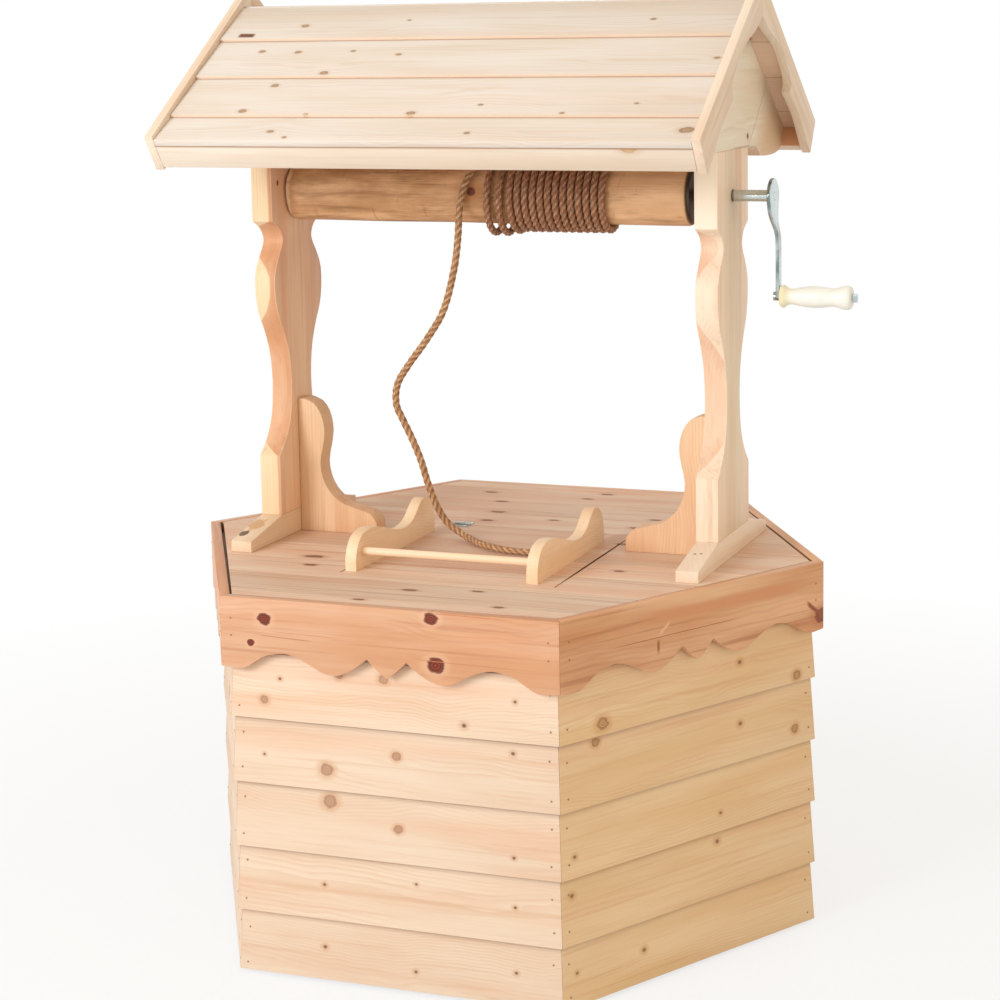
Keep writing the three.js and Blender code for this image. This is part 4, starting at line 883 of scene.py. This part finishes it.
# Posts, feet and gussets
# Planks sawn to a double curve, with square blocks left at both ends. A sloped foot lies
# under each post and a scrolled gusset stands against its inner face.
rosy_post = ("#f2d5b9", "#eac4a6", "#bf8a66")
pale_post = ("#ece2cd", "#e6cfb6", "#c7a584")
rosy_sap = (0.0765, 1.6, 0.3745, 1.0, "#efd5b0")
pale_sap = (0.0635, 2.2, 0.3695, 2.2, "#f4e0cc")
gusset_colours = {"left": ("#e2bd98", "#d3a27b", "#b87b52"), "right": ("#ebcaa8", "#deb18a", "#c0865d")}
cream_foot = {"left": ("#ecd9c2", "#e4caad", "#c9a37c"), "right": ("#f4e6d6", "#ebd6c2", "#d3ad8c")}
# A chip and a dark knot on the left foot, two screw holes on the right one
foot_marks = {"left": [((-0.378, -0.13, 0.617), 0.013, (1, 0.55, 1), "#cfa374"),
                       ((-0.381, -0.166, 0.609), 0.0075, (1, 0.7, 1), "#5a3a24")],
              "right": [((0.365, -0.132, 0.6155), 0.0026, (1, 1, 1), "#8d745c"),
                        ((0.374, -0.129, 0.616), 0.0026, (1, 1, 1), "#8d745c")]}
for hand, post_colours, post_sap, post_knots in (
        ("left", rosy_post, rosy_sap, [(1.165, -0.065, 0.003), (0.79, 0.068, 0.004)]),
        ("right", pale_post, pale_sap, [(0.785, 0.05, 0.0036)])):
    post_finish = pine("post_pine_" + hand, "ZYX", post_colours, post_knots, well_middle, face=0.389,
                       ring=0.0052, seed=5.5, contrast=0.2, streaks=0.3, rosy=0.5, sap=post_sap,
                       # Painted light on the top of the right post's front edge, under the roof's eaves
                       lines=[(1.18, -0.0875, 0.11, 0.006, 0, "#fff3e2")] if hand == "right" else (),
                       sawn=(0.3535, 0.3885, "#d29a70" if hand == "left" else "#edc8ae"))
    foot_finish = pine("foot_pine_" + hand, "YZX", cream_foot[hand], (), well_middle, ring=0.005, seed=7.5,
                       contrast=0.15, streaks=0.2, rosy=0.15, spots=foot_marks[hand])
    gusset_finish = pine("gusset_pine_" + hand, "ZXY", gusset_colours[hand], (), well_middle, ring=0.0056,
                         seed=8.5, contrast=0.3, streaks=0.3, rosy=0.2,
                         sap=(0.292 if hand == "left" else 0.5, 1.0, 0, 0, "#e3c19d"))
    for node, finish in (("post_", post_finish), ("post_foot_", foot_finish), ("gusset_", gusset_finish)):
        timber = eased_copy(node + hand, 0.0012)
        dress(timber, finish)
        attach(timber, "well")
        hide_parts(node + hand)

# Roof
# Very pale planed boards, lapped down each slope, with an eave board, a flat cap on the
# ridge, and scalloped barge boards over the ends. Gable boards close the triangles.
pitch = math.radians(34.4)
ridge_height = 1.479
roof_colours = ("#dedad6", "#d8cec3", "#c9b49e")
# Along the ridge and down the slope in millimetres, and the size in metres
roof_knots = [(x / 1000, s / 1000, size, 1.3) for x, s, size in (
    (-287, 103, 0.0042), (-336, 170, 0.0034), (-273, 173, 0.0034), (-179, 171, 0.0026), (-99, 182, 0.003),
    (-205, 233, 0.0042), (-278, 260, 0.004), (-303, 330, 0.004), (-194, 339, 0.0024), (-24, 336, 0.0044),
    (79, 314, 0.0026), (80, 383, 0.003), (-207, 396, 0.0024), (288, 97, 0.0028), (411, 199, 0.003),
    (212, 336, 0.0026), (408, 373, 0.0068), (318, 311, 0.0024), (-236, 380, 0.0036), (-113, 90, 0.002))]
# Where the lowest board ends, how far it is drawn out over the fascia, and how deep
board_end, overhang, board_deep = 0.391, 0.0138, 0.017
fascia_gap = 0.0004  # between the lowest board and the fascia under it


def down_slope(place, way):
    """How far a point lies down the slope, and how high over the roof's plane."""
    run, rise = place.y * way, place.z - ridge_height
    return (run * math.cos(pitch) - rise * math.sin(pitch), run * math.sin(pitch) + rise * math.cos(pitch))


def over_the_fascia(way):
    """The lowest board runs on over the fascia, so its upper part is drawn out."""
    out = Vector((0, way * math.cos(pitch), -math.sin(pitch)))
    up = Vector((0, way * math.sin(pitch), math.cos(pitch)))

    def reshape(copy):
        bpy.ops.mesh.select_all(action="SELECT")
        bpy.ops.mesh.bisect(plane_co=Vector((0, 0, ridge_height)) - up * board_deep, plane_no=up)
        bpy.ops.mesh.select_all(action="DESELECT")
        bpy.ops.object.mode_set(mode="OBJECT")
        for face in copy.data.polygons:
            run, rise = down_slope(face.center, way)
            face.select = abs(run - board_end) < 0.001 and rise > -board_deep and face.normal.dot(out) > 0.9
        bpy.ops.object.mode_set(mode="EDIT")
        bpy.ops.mesh.extrude_region_move(TRANSFORM_OT_translate={"value": out * overhang})
        bpy.ops.mesh.select_all(action="DESELECT")

    return reshape


def under_the_board(way):
    """The fascia's top edge, planed down to fit under the board."""
    up = Vector((0, way * math.sin(pitch), math.cos(pitch)))

    def reshape(copy):
        bpy.ops.object.mode_set(mode="OBJECT")
        for vertex in copy.data.vertices:
            rise = down_slope(vertex.co, way)[1]
            if rise > -board_deep:
                vertex.co -= up * (rise + board_deep + fascia_gap)
        bpy.ops.object.mode_set(mode="EDIT")

    return reshape


for face_name, way in (("front", -1), ("back", 1)):
    slope_turn = (pitch if way < 0 else math.pi - pitch, 0, 0)
    ridge = (middle_x, 0, ridge_height)
    knots = [(x * -way, -s, size, stretch) for x, s, size, stretch in roof_knots]
    # The laps paint shade under each board's lower edge and warm light on its lip; under paints shade on
    # the boards' underside
    slope_finish = pine("roof_pine_" + face_name, "XYZ", roof_colours, knots, ridge, slope_turn,
                        face=-0.006, row=(-0.4401, 0.1), ring=0.0046, seed=way + 2.9, contrast=0.3,
                        streaks=0.3, rosy=0.12, board_change=0.05, gloss=0.8,
                        knot_colours=("#b59474", "#8a6a4c"), knot_heart=0.8,
                        lap=(-0.0403, 0.1, 0.0036, "#a07658", "#e4cbb4"), under=(0.022, way, "#e0a063"),
                        lines=[(0.379 * way, -0.1298, 0.017, 0.0085, 0, "#6e4426")])
    # The fascia's lap paints shade along its top, under the lowest board, and under paints shade on its
    # back
    fascia_finish = pine("fascia_pine_" + face_name, "XZY", ("#e6dcd0", "#dfd0bf", "#cdb79f"),
                         [(-0.329 * way, -0.018, 0.0062, 1.6)], ridge, slope_turn, ring=0.0048,
                         seed=way + 12.4, contrast=0.22, streaks=0.25, rosy=0.12, gloss=0.66,
                         knot_colours=("#d9b890", "#c49a6c", "#7b5a3e"), knot_heart=0.8,
                         lap=(-0.0172, 1.0, 0.0032, "#9c7455", None), under=(-0.3916, 1, "#e2a46c"))
    for node, finish, reshape in (("roof_boards_", slope_finish, over_the_fascia(way)),
                                  ("eave_fascia_", fascia_finish, under_the_board(way))):
        piece = eased_copy(node + face_name, 0.0008, 2, reshape)
        dress(piece, finish)
        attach(piece, "well")
        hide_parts(node + face_name)
    barge_finish = pine("barge_pine_" + face_name, "YZX", ("#ece0d1", "#e0cab5", "#c9a78a"), (), ridge,
                        slope_turn, face=0.437, ring=0.005, seed=way + 6.2, contrast=0.25, streaks=0.35,
                        rosy=0.2)
    for hand in ("left", "right"):
        piece = eased_copy("barge_%s_%s" % (face_name, hand), 0.001)
        dress(piece, barge_finish)
        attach(piece, "well")
        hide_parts("barge_%s_%s" % (face_name, hand))
gable_finish = pine("gable_pine", "YZX", ("#f4f0e2", "#eae0cc", "#ceb496"), [(0.086, 1.236, 0.004)],
                    well_middle, face=0.389, row=(1.2, 0.14), ring=0.0075, seed=4.9, contrast=0.3,
                    streaks=0.15, rosy=0.15, knot_colours=("#7c6048", "#5d4634", "#5d4634"),
                    lines=[(0.1375, 1.26, 0.075, 0.0022, 0.874, "#cdb294"),
                           (0.25, 1.22, 0.16, 0.14, 0.874, "#dcc0a2"),
                           (0.05, 1.2205, 0.055, 0.0009, 0, "#b3916f")])
cap_finish = pine("cap_pine", "XYZ", roof_colours, (), (0, 0, 0), face=1.447, ring=0.006, seed=3.9,
                  contrast=0.3)
for hand in ("left", "right"):
    dress(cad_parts["gable_" + hand], gable_finish)
dress(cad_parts["ridge_cap"], cap_finish)

# Roller
# A round softwood pole, peeled by hand and left rough and brown, its ends chamfered with a
# knife. It turns on the pin at its left and on the crank's shaft at its right.
roller_radius, chamfer = 0.049, 0.006
roller_left, roller_right = -0.35 + middle_x, 0.327 + middle_x
roller_length = roller_right - roller_left
bpy.ops.object.select_all(action="DESELECT")
bpy.ops.mesh.primitive_cylinder_add(vertices=72, radius=roller_radius, depth=roller_length,
                                    location=((roller_left + roller_right) / 2, 0, axis_height),
                                    rotation=(0, math.pi / 2, 0))
pole = bpy.context.object
pole.name = "round_pole"
bpy.ops.object.transform_apply(location=True, rotation=True, scale=True)
bpy.ops.object.mode_set(mode="EDIT")
bpy.ops.mesh.select_all(action="DESELECT")
bpy.ops.object.mode_set(mode="OBJECT")
for edge in pole.data.edges:
    a, b = (pole.data.vertices[i].co for i in edge.vertices)
    edge.select = abs(a.x - b.x) < 0.001
bpy.ops.object.mode_set(mode="EDIT")
bpy.ops.mesh.bevel(offset=chamfer, segments=3)
bpy.ops.mesh.select_all(action="DESELECT")
cuts, end_room = 60, 0.008
for cut in range(1, cuts):
    cut_x = roller_left + end_room + (roller_length - 2 * end_room) * cut / cuts
    bpy.ops.mesh.select_all(action="SELECT")
    bpy.ops.mesh.bisect(plane_co=(cut_x, 0, 0), plane_no=(1, 0, 0))
bpy.ops.object.mode_set(mode="OBJECT")

# The hand peeling leaves shallow dents, made of a few waves along and round the pole
peeling = random.Random(3)
waves = [(peeling.uniform(1, 5), peeling.randint(1, 6), peeling.uniform(0, 6.3), peeling.uniform(0.2, 1))
         for _ in range(9)]
deepest_dent, flat_middle = 0.0022, 0.03  # the middle of each end stays flat
for vertex in pole.data.vertices:
    y, z = vertex.co.y, vertex.co.z - axis_height
    reach = math.hypot(y, z)
    if reach < flat_middle:
        continue
    angle = math.atan2(z, y)
    dent = sum(size * (1 + math.sin(vertex.co.x * 2 * math.pi * rate + lobes * angle + start))
               for rate, lobes, start, size in waves)
    share = 1 - deepest_dent * dent / len(waves) / reach
    vertex.co.y *= share
    vertex.co.z = axis_height + z * share
bpy.ops.object.shade_smooth_by_angle(angle=math.radians(50))

pole_finish = Finish("peeled_pole")
pole_place = pole_finish.place.outputs["Object"]
pole_x = pole_finish.apart(pole_place)[0]


def along_the_pole(rates, detail, rough=0.55, distort=0.0):
    """Noise stretched along the pole, at one rate for each axis."""
    return pole_finish.noise(pole_finish.vector("MULTIPLY", pole_place, rates), 1, detail, rough, distort)


def stain_and_shade(share, colour):
    """The pole's wood with another colour over a share of it, for stains, chips and the painted shade on
    the right end.
    """
    return pole_finish.blend(share, pole_wood, linear(colour))


streak = along_the_pole((5, 75, 75), 5, 0.6, 0.6)
patches = along_the_pole((9, 26, 26), 4, 0.6)
crack = along_the_pole((3, 160, 160), 2)
nick = along_the_pole((110, 20, 20), 3)
bruise = along_the_pole((8, 40, 40), 3)
pole_wood = pole_finish.blend(pole_finish.ease(patches, 0.32, 0.66), linear("#ecc095"), linear("#c49467"))
pole_wood = stain_and_shade(pole_finish.ease(streak, 0.5, 0.72, 0, 0.65), "#9a6a45")
pole_wood = stain_and_shade(pole_finish.ease(streak, 0.22, 0.4, 0.5, 0), "#fedfab")
pole_wood = stain_and_shade(pole_finish.ease(crack, 0.66, 0.74, 0, 0.7), "#6b4526")
chip_edge = pole_finish.plus(pole_x, pole_finish.times(patches, -0.03))
chipped = pole_finish.ease(chip_edge, roller_left - 0.012, roller_left - 0.006, 0.9, 0)
pole_wood = stain_and_shade(chipped, "#f6debc")
branch = pole_finish.vector("SUBTRACT", pole_place, (middle_x - 0.024, -0.049, 1.1535))
branch = pole_finish.vector("LENGTH", pole_finish.vector("MULTIPLY", branch, (1, 0.2, 1.1)), out=1)
branch = pole_finish.plus(branch, pole_finish.times(pole_finish.minus(patches, 0.5), 0.008))
pole_wood = stain_and_shade(pole_finish.ease(branch, 0.009, 0.03, 0.5, 0), "#b9772f")
pole_wood = stain_and_shade(pole_finish.ease(branch, 0.006, 0.0095, 0.9, 0), "#6b3023")
pole_wood = stain_and_shade(pole_finish.ease(pole_x, 0.16 + middle_x, 0.24 + middle_x, 0, 0.5), "#f8cfa6")
pole_wood = stain_and_shade(pole_finish.ease(nick, 0.62, 0.76, 0, 0.5), "#94633e")
pole_wood = stain_and_shade(pole_finish.ease(bruise, 0.54, 0.72, 0, 0.5), "#7a5a36")
# Painted shade on the pole's right end, in the gap by the post
end_face_shade = pole_finish.ease(pole_x, roller_right - 0.0035, roller_right - 0.0005)
pole_wood = stain_and_shade(pole_finish.times(end_face_shade, 0.85), "#2b2119")
pole_finish.join(pole_wood, pole_finish.shader.inputs["Base Color"])
pole_finish.shader.inputs["Roughness"].default_value = 0.66
pole_finish.bump(pole_finish.plus(streak, pole_finish.times(crack, -0.7)), 0.6, 0.002)
dress(pole, pole_finish.material)
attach(pole, "windlass")
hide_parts("roller")

# Crank grip
# A turned ivory-coloured plastic grip with a waist near each end. It spins on the crank's
# bolt, whose head holds it on.
grip_start = 0.4644 + middle_x
grip_height = 0.996
grip_length, grip_radius = 0.112, 0.0185
# Shares of the grip's length and of its radius, from the arm outwards
grip_rings = [(0, 0.7), (0.008, 0.86), (0.03, 0.95), (0.06, 0.93), (0.085, 0.8), (0.12, 0.68),
              (0.16, 0.65), (0.2, 0.68), (0.26, 0.76), (0.32, 0.82), (0.4, 0.88), (0.48, 0.905),
              (0.55, 0.88), (0.62, 0.83), (0.7, 0.77), (0.76, 0.77), (0.82, 0.86), (0.87, 0.97),
              (0.91, 1.0), (0.95, 0.99), (0.98, 0.92), (0.995, 0.8), (1, 0.66)]
bpy.ops.object.select_all(action="DESELECT")
bpy.ops.mesh.primitive_circle_add(vertices=48, radius=grip_radius * grip_rings[0][1], fill_type="NGON",
                                  location=(grip_start, 0, grip_height), rotation=(0, math.pi / 2, 0))
grip = bpy.context.object
grip.name = "turned_grip"
bpy.ops.object.transform_apply(location=True, rotation=True, scale=True)
bpy.ops.object.mode_set(mode="EDIT")
bpy.ops.mesh.select_all(action="SELECT")
for (near, small), (far, large) in zip(grip_rings, grip_rings[1:]):
    bpy.ops.mesh.extrude_region_move(TRANSFORM_OT_translate={"value": ((far - near) * grip_length, 0, 0)})
    ratio = large / small
    bpy.ops.transform.resize(value=(1, ratio, ratio), center_override=(0, 0, grip_height))
bpy.ops.mesh.select_all(action="SELECT")
bpy.ops.mesh.normals_make_consistent(inside=False)
bpy.ops.object.mode_set(mode="OBJECT")
bpy.ops.object.shade_smooth_by_angle(angle=math.radians(40))
ivory = Finish("ivory_grip")
ivory_place = ivory.place.outputs["Object"]
ivory_x = ivory.apart(ivory_place)[0]
ivory_cloud = ivory.noise(ivory_place, 45, 3)
ivory_colour = ivory.blend(ivory_cloud, linear("#eef4f4"), linear("#ebefea"))
yellow_end = ivory.ease(ivory_x, grip_start, grip_start + 0.03, 0.75, 0)
ivory_colour = ivory.blend(yellow_end, ivory_colour, linear("#ece2b0"))
ivory.join(ivory_colour, ivory.shader.inputs["Base Color"])
ivory.shader.inputs["Roughness"].default_value = 0.32
ivory.bump(ivory.noise(ivory_place, 220, 2), 0.12, 0.0006)
dress(grip, ivory.material)
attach(grip, "grip")
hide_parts("crank_grip")
